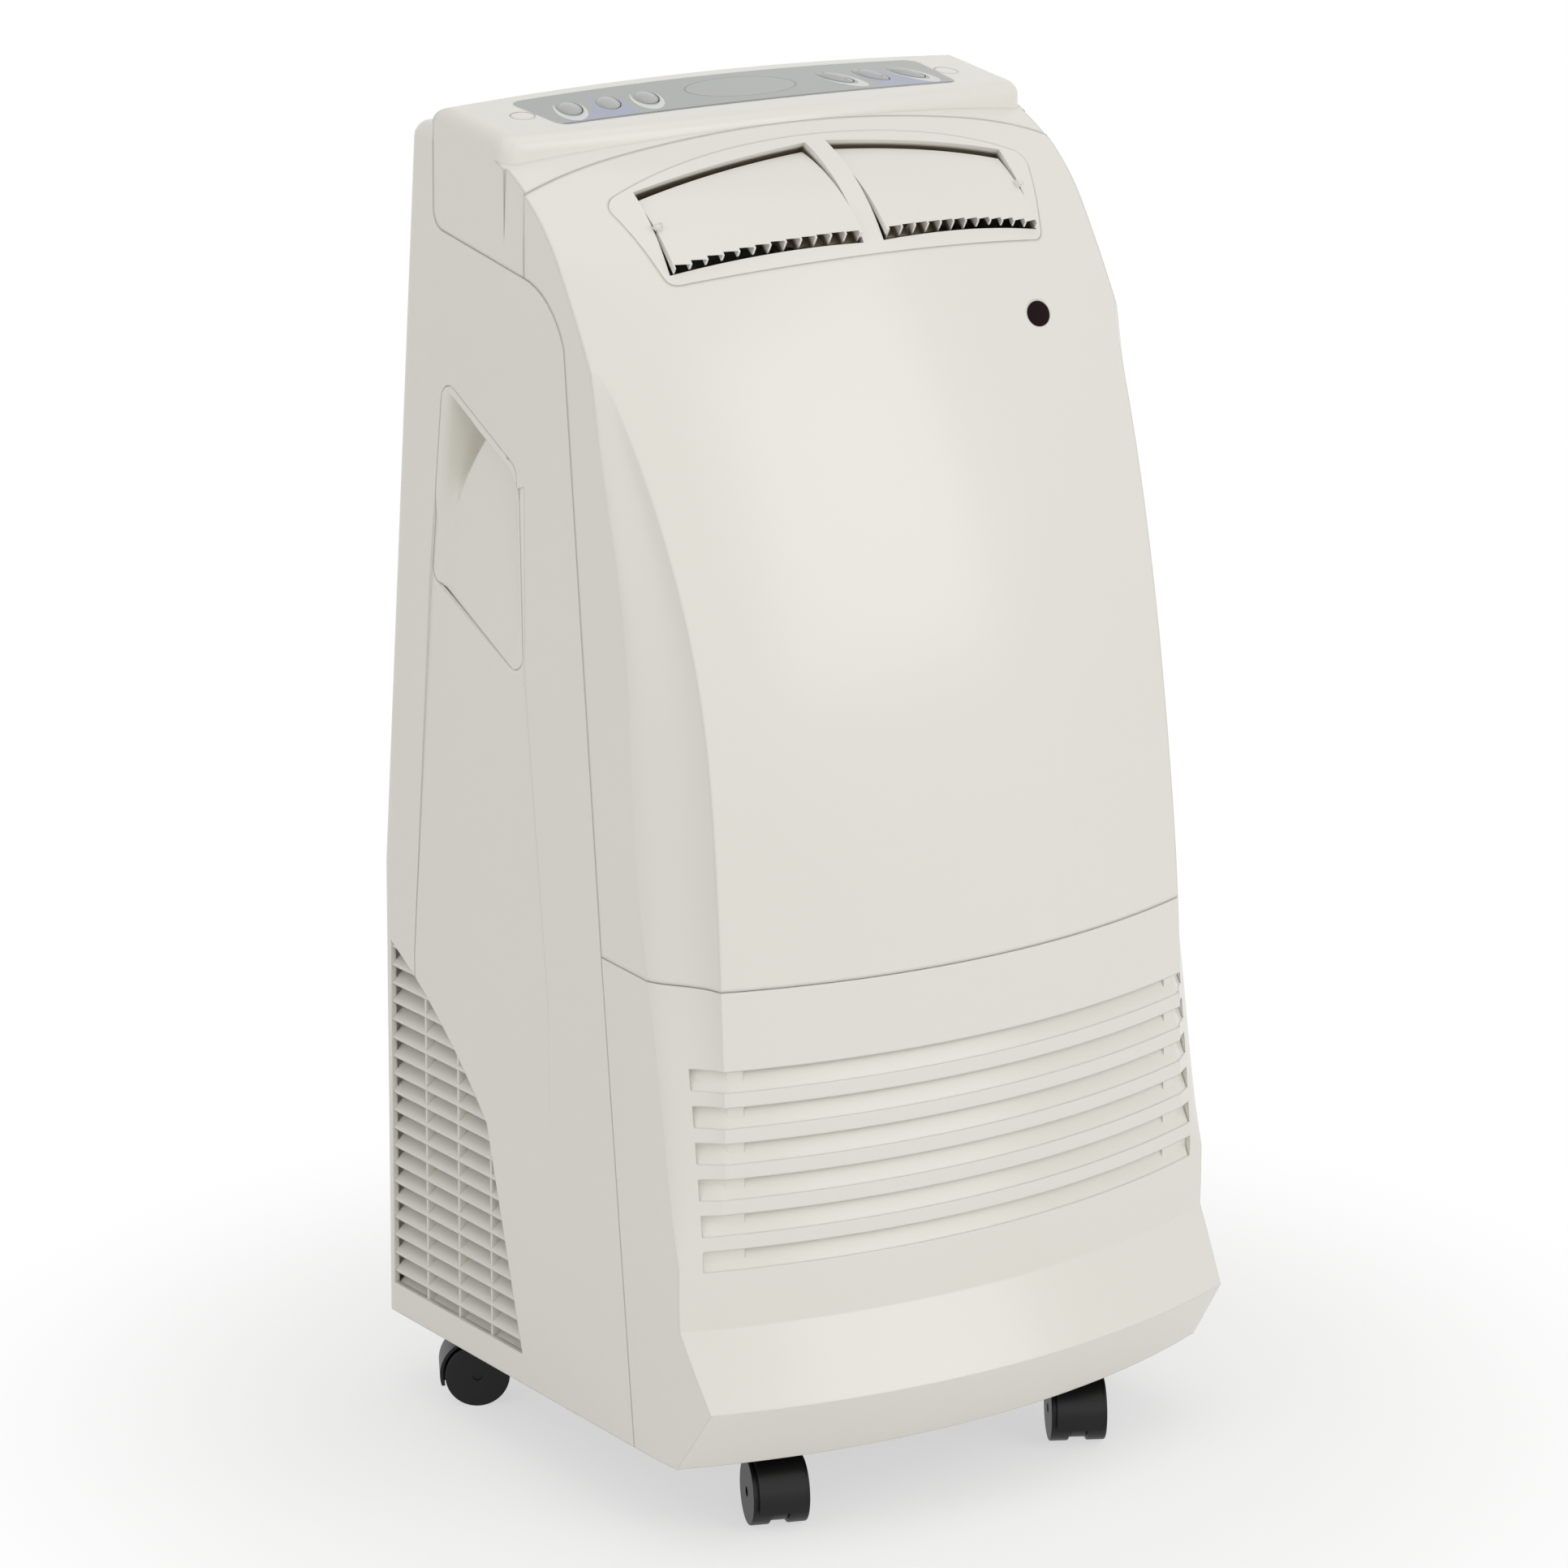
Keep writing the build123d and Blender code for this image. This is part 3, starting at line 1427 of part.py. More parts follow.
# Base pan with sockets for the caster stems
caster_front_y = lip_y + caster_front_setback
caster_rear_y = rear_y - caster_rear_setback
casters = {
    "front_left": (-caster_spread_front / 2, caster_front_y, 248.0),
    "front_right": (caster_spread_front / 2, caster_front_y, 240.0),
    "rear_left": (-caster_spread_rear / 2, caster_rear_y, 150.0),
    "rear_right": (caster_spread_rear / 2, caster_rear_y, 300.0),
}
stem_places = [(x, y) for x, y, turn in casters.values()]
with BuildPart() as base_pan:
    add(inner)
    add(slab(skirt_z, base_top_z), mode=Mode.INTERSECT)
    with BuildSketch(Plane.XY.offset(skirt_z)):
        with Locations(*stem_places):
            Circle(stem_radius + boss_wall)
    extrude(amount=stem_length + boss_wall)
    with BuildSketch(Plane.XY.offset(skirt_z)):
        with Locations(*stem_places):
            Circle(stem_radius + running_clearance)
    extrude(amount=stem_length + mount_gap, mode=Mode.SUBTRACT)
finish_piece(base_pan, "base_pan")

# Casters: hooded fork on a stem, axle and two wheels, drawn with the wheel trailing along +X
axle_place = (caster_trail, 0, wheel_radius)
shroud_inner = wheel_radius + hood_clearance
shroud_outer = shroud_inner + hood_shell
wheel_inner_y = hood_web / 2 + wheel_gap
wheel_outer_y = wheel_inner_y + wheel_width
neck_top_z = ground_clearance - mount_gap


def axle_rod(radius, y_low, y_high):
    """Round rod along the axle of a caster."""
    with BuildPart() as rod:
        place = (axle_place[0], (y_low + y_high) / 2, axle_place[2])
        with Locations(Location(place, (90, 0, 0))):
            Cylinder(radius, y_high - y_low)
    return rod.part


with BuildPart() as fork_master:
    add(axle_rod(shroud_outer, -hood_width / 2, hood_width / 2))
    hood_line_z = wheel_radius + hood_web / 3
    add(tall_box(-far, caster_trail, -far, far, -far, hood_line_z), mode=Mode.SUBTRACT)
    add(tall_box(-far, far, -far, far, -far, wheel_radius - hood_drop), mode=Mode.SUBTRACT)
    with BuildSketch(Plane.XY.offset(wheel_radius + hood_web)):
        Circle(hood_neck_radius)
    extrude(amount=neck_top_z - wheel_radius - hood_web)
    add(axle_rod(shroud_inner, hood_web / 2, far), mode=Mode.SUBTRACT)
    add(axle_rod(shroud_inner, -far, -hood_web / 2), mode=Mode.SUBTRACT)
    add(axle_rod(wheel_radius - hood_shell, -hood_web / 2, hood_web / 2))
    with BuildSketch(Plane.XY.offset(neck_top_z - hood_shell)):
        Circle(stem_radius)
    extrude(amount=stem_length + hood_shell)
    add(axle_rod(axle_radius, -far, far), mode=Mode.SUBTRACT)
with BuildPart() as axle_master:
    add(axle_rod(axle_radius, -wheel_outer_y + wheel_gap, wheel_outer_y - wheel_gap))
with BuildPart() as wheel_master:
    add(axle_rod(wheel_radius, wheel_inner_y, wheel_outer_y))
    rims = wheel_master.edges().filter_by(GeomType.CIRCLE)
    fillet(rims, wheel_gap)
    add(axle_rod(axle_radius + running_clearance, -far, far), mode=Mode.SUBTRACT)
with BuildPart() as far_wheel_master:
    add(mirror(wheel_master.part, about=Plane.XZ))
caster_pieces = (
    ("caster_fork", fork_master),
    ("caster_axle", axle_master),
    ("caster_wheel_a", wheel_master),
    ("caster_wheel_b", far_wheel_master),
)
for corner_name, (x, y, turn) in casters.items():
    for kind, master in caster_pieces:
        with BuildPart() as piece:
            add(master.part.moved(Location((x, y, 0), (0, 0, turn))))
        finish_piece(piece, f"{corner_name}_{kind}")

# Compressor on rubber grommets
compressor_x, compressor_y = compressor_offset
foot_z = base_top_z + grommet_height
with BuildPart() as compressor_mounts:
    with BuildSketch(Plane.XY.offset(base_top_z)):
        with Locations((compressor_x, compressor_y)):
            with PolarLocations(foot_circle, 3, start_angle=90):
                Circle(grommet_radius)
    extrude(amount=grommet_height)
finish_piece(compressor_mounts, "compressor_mounts")
with BuildPart() as compressor:
    with BuildSketch(Plane.XY.offset(foot_z)):
        with Locations((compressor_x, compressor_y)):
            Circle(compressor_radius)
            with PolarLocations(foot_circle, 3, start_angle=90):
                Circle(grommet_radius)
    extrude(amount=base_thickness)
    with Locations((compressor_x, compressor_y, foot_z + compressor_height / 2)):
        can = Cylinder(compressor_radius, compressor_height)
    fillet(compressor.edges().group_by(Axis.Z)[-1], compressor_radius / 3)
finish_piece(compressor, "compressor")

# Heat exchangers: fin blocks with grooves across the fins and a header tube at each end
condenser_y = face_y + condenser_setback
evaporator_y = rear_y - evaporator_inset


def coil_block(size, centre_y, low_z):
    """Finned block standing on a level, with shallow grooves front and back."""
    width, height = size
    with BuildPart() as coil:
        with Locations((0, centre_y, low_z + height / 2)):
            Box(width, coil_thickness, height)
        count = int(width / fin_pitch)
        with BuildSketch(Plane.XY.offset(low_z)):
            with Locations((0, centre_y)):
                with GridLocations(fin_pitch, coil_thickness, count, 2):
                    Rectangle(fin_slot, 4 * fin_slot)
        extrude(amount=height, mode=Mode.SUBTRACT)
    return coil


condenser_coil = coil_block(condenser_size, condenser_y, base_top_z)
finish_piece(condenser_coil, "condenser_coil")
partition_top_z = partition_z + partition_thickness
evaporator_coil = coil_block(evaporator_size, evaporator_y, partition_top_z)
finish_piece(evaporator_coil, "evaporator_coil")

# Refrigerant pipes: discharge, suction and the return through the partition
discharge_x = compressor_x + compressor_radius / 3
suction_x = compressor_x - compressor_radius / 3
return_x = -condenser_size[0] * 0.42
can_top_z = foot_z + compressor_height
condenser_top_z = base_top_z + condenser_size[1]
run_z = partition_z - 2 * pipe_bend - 4 * pipe_radius
pipe_routes = (
    (
        (discharge_x, compressor_y, can_top_z),
        (discharge_x, compressor_y, run_z),
        (discharge_x, condenser_y, run_z),
        (discharge_x, condenser_y, condenser_top_z),
    ),
    (
        (suction_x, compressor_y, can_top_z),
        (suction_x, compressor_y, run_z),
        (suction_x, evaporator_y, run_z),
        (suction_x, evaporator_y, partition_top_z),
    ),
    (
        (return_x, condenser_y, condenser_top_z),
        (return_x, condenser_y, run_z),
        (return_x, evaporator_y, run_z),
        (return_x, evaporator_y, partition_top_z),
    ),
)
with BuildPart() as refrigerant_pipes:
    for route in pipe_routes:
        with BuildLine() as path:
            FilletPolyline(*route, radius=pipe_bend)
        with BuildSketch(Plane(origin=route[0], z_dir=(0, 0, 1))):
            Circle(pipe_radius)
        sweep(path=path.wires()[0])
finish_piece(refrigerant_pipes, "refrigerant_pipes")

with BuildPart() as partition_plate:
    add(core)
    add(slab(partition_z, partition_top_z), mode=Mode.INTERSECT)
    with BuildSketch(Plane.XY.offset(partition_z)):
        with Locations((suction_x, evaporator_y), (return_x, evaporator_y)):
            Circle(pipe_radius + seam_gap)
    extrude(amount=partition_thickness, mode=Mode.SUBTRACT)
finish_piece(partition_plate, "partition_plate")


def scroll_outline(centre, radius, outlet_low, outlet_high, grow):
    """Scroll in the side view: a circle and a straight outlet."""
    with Locations(centre):
        Circle(radius + grow)
    low_y, low_z = outlet_low
    high_y, high_z = outlet_high
    with Locations(((low_y + high_y) / 2, (low_z + high_z) / 2)):
        Rectangle(high_y - low_y + 2 * grow, high_z - low_z + 2 * grow)


def blower(centre_x, centre, wheel_r, wheel_w, outlet_low, outlet_high, mouth, foot_low_z):
    """Scroll housing, wheel and motor of one blower; the motor is on the +X side."""
    scroll_r = wheel_r + scroll_gap + scroll_growth
    half = wheel_w / 2 + scroll_gap
    side_plane = Plane.YZ.offset(centre_x)
    with BuildPart() as housing:
        with BuildSketch(side_plane):
            scroll_outline(centre, scroll_r, outlet_low, outlet_high, scroll_wall)
        extrude(amount=half + scroll_wall, both=True)
        for x in (centre_x - half, centre_x + half):
            foot_x = x - scroll_wall if x < centre_x else x
            add(
                tall_box(
                    foot_x, foot_x + scroll_wall,
                    centre[0] - wheel_r / 2, centre[0] + wheel_r / 2,
                    foot_low_z, centre[1] - wheel_r / 2,
                )
            )
        with BuildSketch(side_plane):
            scroll_outline(centre, scroll_r, outlet_low, outlet_high, 0.0)
        extrude(amount=half, both=True, mode=Mode.SUBTRACT)
        add(mouth, mode=Mode.SUBTRACT)
        with BuildSketch(side_plane.offset(-half - scroll_wall)):
            with Locations(centre):
                Circle(wheel_r - wheel_ring)
        extrude(amount=scroll_wall, mode=Mode.SUBTRACT)
        with BuildSketch(side_plane.offset(half)):
            with Locations(centre):
                Circle(shaft_radius + scroll_wall)
        extrude(amount=scroll_wall, mode=Mode.SUBTRACT)
    with BuildPart() as wheel:
        with BuildSketch(side_plane.offset(wheel_w / 2 - scroll_wall)):
            with Locations(centre):
                Circle(wheel_r)
        extrude(amount=scroll_wall)
        with BuildSketch(side_plane.offset(-wheel_w / 2)):
            with Locations(centre):
                Circle(wheel_r)
                Circle(wheel_r - wheel_ring, mode=Mode.SUBTRACT)
        extrude(amount=scroll_wall)
        with BuildSketch(side_plane.offset(-wheel_w / 2)):
            with Locations(centre):
                with PolarLocations(wheel_r - wheel_ring / 2, wheel_blade_count):
                    Rectangle(wheel_ring * 0.9, wheel_blade)
        extrude(amount=wheel_w)
        with BuildSketch(side_plane.offset(wheel_w / 2 - scroll_wall)):
            with Locations(centre):
                Circle(shaft_radius)
        extrude(amount=half - wheel_w / 2 + 2 * scroll_wall + motor_length / 2)
    with BuildPart() as motor:
        with BuildSketch(side_plane.offset(half + scroll_wall)):
            with Locations(centre):
                Circle(motor_radius)
        extrude(amount=motor_length)
        fillet(motor.edges().group_by(Axis.X)[-1], motor_radius / 6)
        with BuildSketch(side_plane.offset(half + scroll_wall)):
            with Locations(centre):
                Circle(shaft_radius + running_clearance)
        extrude(amount=motor_length / 2 + scroll_wall, mode=Mode.SUBTRACT)
    return housing, wheel, motor


# Condenser blower pushes warm air through the collar; evaporator blower feeds the flaps
lower_centre = (condenser_wheel_centre[0], skirt_z + condenser_wheel_centre[1])
lower_scroll = condenser_wheel_radius + scroll_gap + scroll_growth
lower_end = rear_y - exhaust_length - exhaust_wall
lower_blower = blower(
    exhaust_offset,
    lower_centre,
    condenser_wheel_radius,
    condenser_wheel_width,
    lower_centre,
    (lower_end - scroll_wall, lower_centre[1] + lower_scroll),
    tall_box(-far, far, lower_end - scroll_wall, far, 0, far),
    base_top_z,
)
upper_centre = (evaporator_wheel_centre[0], skirt_z + evaporator_wheel_centre[1])
upper_scroll = evaporator_wheel_radius + scroll_gap + scroll_growth
upper_end = brow_z - 1.5 * duct_depth
upper_blower = blower(
    0.0,
    upper_centre,
    evaporator_wheel_radius,
    evaporator_wheel_width,
    (upper_centre[0] - upper_scroll, upper_centre[1]),
    (upper_centre[0], upper_end - scroll_wall),
    tall_box(-far, far, -far, far, upper_end - scroll_wall, far + top_z),
    partition_top_z,
)
for blower_name, pieces in (("condenser", lower_blower), ("evaporator", upper_blower)):
    for kind, piece in zip(("blower_housing", "blower_wheel", "fan_motor"), pieces):
        finish_piece(piece, f"{blower_name}_{kind}")

# Air filter behind the rear slots, and the run capacitor
filter_height = rear_slot_rows * rear_slot_pitch
filter_width = rear_slot_columns * (rear_slot_length + rear_slot_rib)
with BuildPart() as air_filter:
    with BuildSketch(rear_plane(0, rear_slot_base).offset(-wall * cos(lean_angle) - filter_thickness)):
        with Locations((0, filter_height / 2 - rear_slot_pitch / 2)):
            Rectangle(filter_width, filter_height)
    extrude(amount=filter_thickness)
finish_piece(air_filter, "air_filter")

capacitor_x = capacitor_radius + 2 * wall - half_width(partition_z) + tongue_overlap
with BuildPart() as capacitor:
    with Locations((capacitor_x, -capacitor_radius, partition_top_z + capacitor_height / 2)):
        Cylinder(capacitor_radius, capacitor_height)
    fillet(capacitor.edges().group_by(Axis.Z)[-1], capacitor_radius / 5)
finish_piece(capacitor, "capacitor")
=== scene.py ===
"""Looks of the portable air conditioner: plastics, printed control panel, casters and a pale studio."""

import json
import math

import bmesh
import bpy
from mathutils import Matrix, Vector


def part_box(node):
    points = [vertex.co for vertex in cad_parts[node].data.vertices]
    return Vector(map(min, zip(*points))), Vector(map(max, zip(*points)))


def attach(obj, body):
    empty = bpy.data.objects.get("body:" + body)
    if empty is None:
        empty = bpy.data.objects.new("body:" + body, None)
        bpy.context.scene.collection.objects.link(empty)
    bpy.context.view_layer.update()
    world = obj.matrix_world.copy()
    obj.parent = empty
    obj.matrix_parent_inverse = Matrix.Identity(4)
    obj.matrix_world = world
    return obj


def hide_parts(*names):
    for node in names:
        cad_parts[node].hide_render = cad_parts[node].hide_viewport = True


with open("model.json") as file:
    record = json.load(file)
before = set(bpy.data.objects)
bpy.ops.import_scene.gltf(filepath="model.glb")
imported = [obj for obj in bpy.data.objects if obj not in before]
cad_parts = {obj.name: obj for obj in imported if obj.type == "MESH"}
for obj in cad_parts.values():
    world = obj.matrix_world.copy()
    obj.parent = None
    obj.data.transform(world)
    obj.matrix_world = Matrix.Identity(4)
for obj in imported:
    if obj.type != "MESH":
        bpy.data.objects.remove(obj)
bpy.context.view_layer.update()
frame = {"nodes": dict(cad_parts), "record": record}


class Tone:
    """One shader socket that can be used in sums, with other nodes reached through one method."""

    def __init__(self, tree, socket):
        self.tree = tree
        self.socket = socket

    def node(self, kind, inputs=None, output=0, **settings):
        """Adds a node, sets its options, fills inputs by name or number and returns an output."""
        made = self.tree.nodes.new("ShaderNode" + kind)
        for key, value in settings.items():
            setattr(made, key, value)
        for key, value in (inputs or {}).items():
            if isinstance(value, Tone):
                self.tree.links.new(value.socket, made.inputs[key])
            else:
                made.inputs[key].default_value = value
        return Tone(self.tree, made.outputs[output])

    def math(self, operation, *values, clamp=False):
        inputs = dict(enumerate((self,) + values))
        return self.node("Math", inputs, operation=operation, use_clamp=clamp)

    def __add__(self, other):
        return self.math("ADD", other)

    __radd__ = __add__

    def __sub__(self, other):
        return self.math("SUBTRACT", other)

    def __rsub__(self, other):
        return (self * -1.0) + other

    def __mul__(self, other):
        return self.math("MULTIPLY", other)

    __rmul__ = __mul__

    def __truediv__(self, other):
        return self.math("DIVIDE", other)

    def __pow__(self, other):
        return self.math("POWER", other)

    def __abs__(self):
        return self.math("ABSOLUTE")

    def step(self, low, high, start=0.0, end=1.0):
        """Smooth ramp from start to end as the value goes from low to high."""
        names = {"Value": self, "From Min": low, "From Max": high, "To Min": start, "To Max": end}
        return self.node("MapRange", names, interpolation_type="SMOOTHSTEP")

    def mix(self, first, second):
        """Colour between two colours, with this value as the share of the second."""
        names = {0: self, 6: first, 7: second}
        return self.node("Mix", names, output=2, data_type="RGBA")


class Finish:
    """A material of one piece: coordinates in the object's frame and a shader with detail."""

    def __init__(self, name):
        self.material = bpy.data.materials.new(name)
        self.material.use_nodes = True
        self.tree = self.material.node_tree
        self.shader = self.tree.nodes["Principled BSDF"]
        place = self.tree.nodes.new("ShaderNodeTexCoord")
        self.place = Tone(self.tree, place.outputs["Object"])
        split = self.place.node("SeparateXYZ", {0: self.place}).socket.node
        self.x, self.y, self.z = (Tone(self.tree, out) for out in split.outputs)

    def noise(self, scale, detail=3.0, rough=0.5):
        names = {"Vector": self.place, "Scale": scale, "Detail": detail, "Roughness": rough}
        return self.place.node("TexNoise", names)

    def put(self, socket, value):
        if isinstance(value, Tone):
            self.tree.links.new(value.socket, self.shader.inputs[socket])
        else:
            self.shader.inputs[socket].default_value = value

    def paint(self, value):
        self.colour = value
        self.put("Base Color", value)

    def overprint(self, mask, ink):
        """Lays an ink over the colour where the mask is one."""
        self.paint(mask.mix(self.colour, ink))

    def bump(self, height, strength, distance, edge=0.0):
        """Fine relief, over edges that are softened by a small radius."""
        names = {"Strength": strength, "Distance": distance, "Height": height}
        if edge:
            names["Normal"] = self.place.node("Bevel", {"Radius": edge}, samples=6)
        self.put("Normal", self.place.node("Bump", names))


def colour(red, green, blue):
    """Colour from the 0 to 255 values of a screen."""

    def linear(value):
        share = value / 255.0
        return share / 12.92 if share <= 0.04045 else ((share + 0.055) / 1.055) ** 2.4

    return (linear(red), linear(green), linear(blue), 1.0)


def moulded_plastic(name, tint, shade, roughness, grain=1800.0, depth=0.000001, cloud=5.0, edge=0.0):
    """Injection-moulded plastic: a faintly clouded tint, fine grain and slightly uneven gloss."""
    finish = Finish(name)
    finish.paint(finish.noise(cloud, 1.0).step(0.1, 0.9).mix(tint, shade))
    gloss = finish.noise(cloud * 2.0, 1.0)
    finish.put("Roughness", gloss.step(0.1, 0.9, roughness * 0.95, roughness * 1.05))
    finish.bump(finish.noise(grain, 2.0), 0.3, depth, edge)
    return finish


def plain_metal(name, tint, shade, roughness, grain=900.0):
    """Metal with fine tarnish and a little unevenness in its shine."""
    finish = moulded_plastic(name, tint, shade, roughness, grain, cloud=40.0)
    finish.put("Metallic", 1.0)
    return finish


def body_of(node):
    """The body that carries a node."""
    return next(name for name, nodes in frame["record"]["behaviour"]["bodies"].items() if node in nodes)


def middle(node):
    """Middle of a node's box at rest."""
    low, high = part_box(node)
    return (Vector(low) + Vector(high)) / 2


millimetre = 0.001
soft_edge = 1.6 * millimetre
round_edge = 3.5 * millimetre
button_turn = math.radians(21.0)
overlay_bow = 5.0 * millimetre
housing_tints = colour(238, 235, 227), colour(236, 233, 224)
outlet_tints = colour(239, 236, 229), colour(236, 233, 225)

# Front face round the outlet: chest and brow arcs turned about the bow's upright axis
bow_axis_y = 340.5 * millimetre
brow_height = 738.0 * millimetre
chest_arc = (-253.5 * millimetre, 352.4 * millimetre, 755.2 * millimetre)
brow_arc = (290.2 * millimetre, 675.25 * millimetre, 122.9 * millimetre)
flap_pin = Vector((0, -22.93, 755.92)) * millimetre
flap_tilt = math.radians(9.0)

# Reach of a flap's outer edge from the middle, in millimetres
flap_outer_reach = 128.5


def plugged_cap(name):
    """Warm white cap with a thin shadow line round each of the two screw plugs."""
    cap = moulded_plastic(name, *housing_tints, 0.24, edge=round_edge)
    low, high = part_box("screw_plugs")
    radius = (high[1] - low[1]) / 2
    along = abs(cap.x) - (high[0] - radius)
    away = (along * along + (cap.y - (low[1] + radius)) ** 2.0) ** 0.5
    inner = away.step(radius, radius + 0.1 * millimetre)
    outer = away.step(radius + 0.5 * millimetre, radius + 0.8 * millimetre)
    above = cap.z.step(low[2], high[2])
    cap.overprint(inner * (1 - outer) * above, colour(150, 143, 120))
    return cap


def shaded_inside(name, tilt, start, end):
    """Warm white outlet plastic with painted shade that deepens behind the front face, for a piece tilted
    on the pins.
    """
    finish = moulded_plastic(name, *outlet_tints, 0.3)
    sine, cosine = math.sin(tilt), math.cos(tilt)
    arm_y, arm_z = finish.y - flap_pin.y, finish.z - flap_pin.z
    y = arm_y * cosine - arm_z * sine + flap_pin.y
    z = arm_y * sine + arm_z * cosine + flap_pin.z
    back = y - bow_axis_y
    reach = (finish.x * finish.x + back * back) ** 0.5

    def depth(arc):
        middle_reach, middle_height, radius = arc
        across, along = reach - middle_reach, z - middle_height
        return radius - (across * across + along * along) ** 0.5

    upper = z.step(brow_height - millimetre, brow_height + millimetre)
    inside = upper * depth(brow_arc) + (1 - upper) * depth(chest_arc)
    # painted shade: a dark ink over the plastic inside the outlet, where the duct lies in shade
    finish.overprint(inside.step(start, end), colour(112, 102, 85))
    return finish


def printed_panel_with_painted_shadow(name):
    """Grey film, with white crescents and lilac horns printed round the buttons and a painted shadow
    along its front edge, in millimetres.
    """
    film = moulded_plastic(name, colour(168, 171, 168), colour(164, 167, 164), 0.26)
    white, lilac, edge = colour(222, 223, 220), colour(160, 166, 190), colour(104, 108, 108)
    edge_blur, middle_blur = 0.3, 0.5
    horn_half, horn_taper, horn_flare, flare_start, horn_tip = 10.4, 0.04, 0.022, 6.0, 18.0
    button_half_width, button_half_length, inner_spread = 7.8, 14.5, 0.09
    crescent_outside, crescent_inside, crescent_tip = (-4.0, 9.6, 20.0), (1.0, 8.3, 17.5), 9.0

    def around(node):
        """Distances from a button's middle, across and along its turned long axis, in millimetres."""
        spot = middle(node)
        side = 1.0 if spot.x < 0 else -1.0
        across = (film.x - spot.x) / millimetre
        along = (film.y - spot.y) / millimetre
        sine, cosine = side * math.sin(button_turn), math.cos(button_turn)
        return abs(across * cosine - along * sine), across * sine + along * cosine

    def within(p, q, middle_q, half_p, half_q):
        """One inside an ellipse, zero outside it."""
        reach = (p / half_p) ** 2.0 + ((q - middle_q) / half_q) * ((q - middle_q) / half_q)
        return 1 - reach.step(0.96, 1.04)

    for group in ("left", "right"):
        p, q = around(group + "_button_2")
        forward = (q * -1.0 - flare_start).math("MAXIMUM", 0.0)
        outer = horn_half - horn_taper * q + horn_flare * forward * forward
        rear = q.step(-middle_blur, middle_blur)
        inner = rear * (1 - (p - (button_half_width + inner_spread * q)).step(-edge_blur, edge_blur))
        kept = within(p, q, 0.0, button_half_width, button_half_length) * (1 - rear) + inner
        inside = 1 - (p - outer).step(-edge_blur, edge_blur)
        horns = inside * (1 - q.step(horn_tip, horn_tip + 1.0)) * (1 - kept)
        film.overprint(horns, lilac)
        for number in (1, 3):
            p, q = around(f"{group}_button_{number}")
            ring = within(p, q, *crescent_outside) * (1 - within(p, q, *crescent_inside))
            film.overprint(ring * (1 - q.step(crescent_tip, crescent_tip + 2.0)), white)
    low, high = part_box("control_overlay")
    across = film.x / ((high[0] - low[0]) / 2)
    rim = film.y - low[1] - overlay_bow * across * across
    # painted shadow: a dark band along the film's front edge, where its own thickness throws shade
    film.overprint(1 - rim.step(2.6 * millimetre, 3.4 * millimetre), edge)
    return film


def display_film(name):
    """Smoky oval display window with a thin dark line round it."""
    window = moulded_plastic(name, colour(170, 172, 166), colour(166, 168, 162), 0.2)
    low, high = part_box("display_window")
    spot = middle("display_window")
    across = (window.x - spot.x) / ((high[0] - low[0]) / 2)
    along = (window.y - spot.y) / ((high[1] - low[1]) / 2)
    reach = across * across + along * along
    window.overprint(reach.step(0.90, 0.94), colour(128, 131, 128))
    return window


housing_white = moulded_plastic("housing_white", *housing_tints, 0.24, edge=soft_edge)
front_white = moulded_plastic("front_white", *housing_tints, 0.24, edge=round_edge)
# flaps: painted shade from 4 mm behind the front face
outlet_white = shaded_inside("outlet_white", flap_tilt, 4.0 * millimetre, 7.0 * millimetre)
caster_black = moulded_plastic(
    "caster_black", colour(24, 25, 24), colour(20, 21, 20), 0.38, 3200.0, 0.00002
)
caster_black.put("Specular IOR Level", 0.3)
rubber_black = moulded_plastic("rubber_black", colour(34, 34, 34), colour(28, 28, 28), 0.7)
inner_plastic = moulded_plastic("inner_plastic", colour(92, 92, 90), colour(80, 80, 78), 0.55)
compressor_black = moulded_plastic("compressor_black", colour(30, 30, 30), colour(24, 24, 24), 0.35)
board_green = moulded_plastic("board_green", colour(36, 84, 48), colour(28, 70, 40), 0.4)
filter_mesh = moulded_plastic("filter_mesh", colour(58, 58, 60), colour(46, 46, 48), 0.85, 1500.0, 0.0003)
steel = plain_metal("steel", colour(176, 176, 174), colour(160, 160, 158), 0.35)
sheet_steel = plain_metal("sheet_steel", colour(150, 152, 152), colour(134, 136, 136), 0.45)
coil_aluminium = plain_metal("coil_aluminium", colour(190, 192, 194), colour(172, 174, 176), 0.4)
can_aluminium = plain_metal("can_aluminium", colour(184, 186, 188), colour(170, 172, 174), 0.3)
pipe_copper = plain_metal("pipe_copper", colour(198, 122, 88), colour(176, 104, 72), 0.3)
button_grey = moulded_plastic("button_grey", colour(184, 185, 182), colour(179, 180, 177), 0.24)
film_grey = moulded_plastic("film_grey", colour(166, 169, 166), colour(162, 165, 162), 0.26)
lens_dark = moulded_plastic("lens_dark", colour(30, 3, 6), colour(18, 2, 4), 0.2)
lens_dark.put("Specular IOR Level", 0.06)

finishes = {
    "housing_white": housing_white,
    "outlet_white": outlet_white,
    "caster_black": caster_black,
    "rubber_black": rubber_black,
    "inner_plastic": inner_plastic,
    "compressor_black": compressor_black,
    "board_green": board_green,
    "filter_mesh": filter_mesh,
    "steel": steel,
    "sheet_steel": sheet_steel,
    "coil_aluminium": coil_aluminium,
    "can_aluminium": can_aluminium,
    "pipe_copper": pipe_copper,
    "button_grey": button_grey,
    "panel_grey": printed_panel_with_painted_shadow("panel_grey"),
    "display_grey": display_film("display_grey"),
    "lens_dark": lens_dark,
}
slots = {piece["node"]: piece["material_slot"] for piece in frame["record"]["subparts"]}
for node, piece in frame["nodes"].items():
    piece.data.materials.clear()
    piece.data.materials.append(finishes[slots[node]].material)
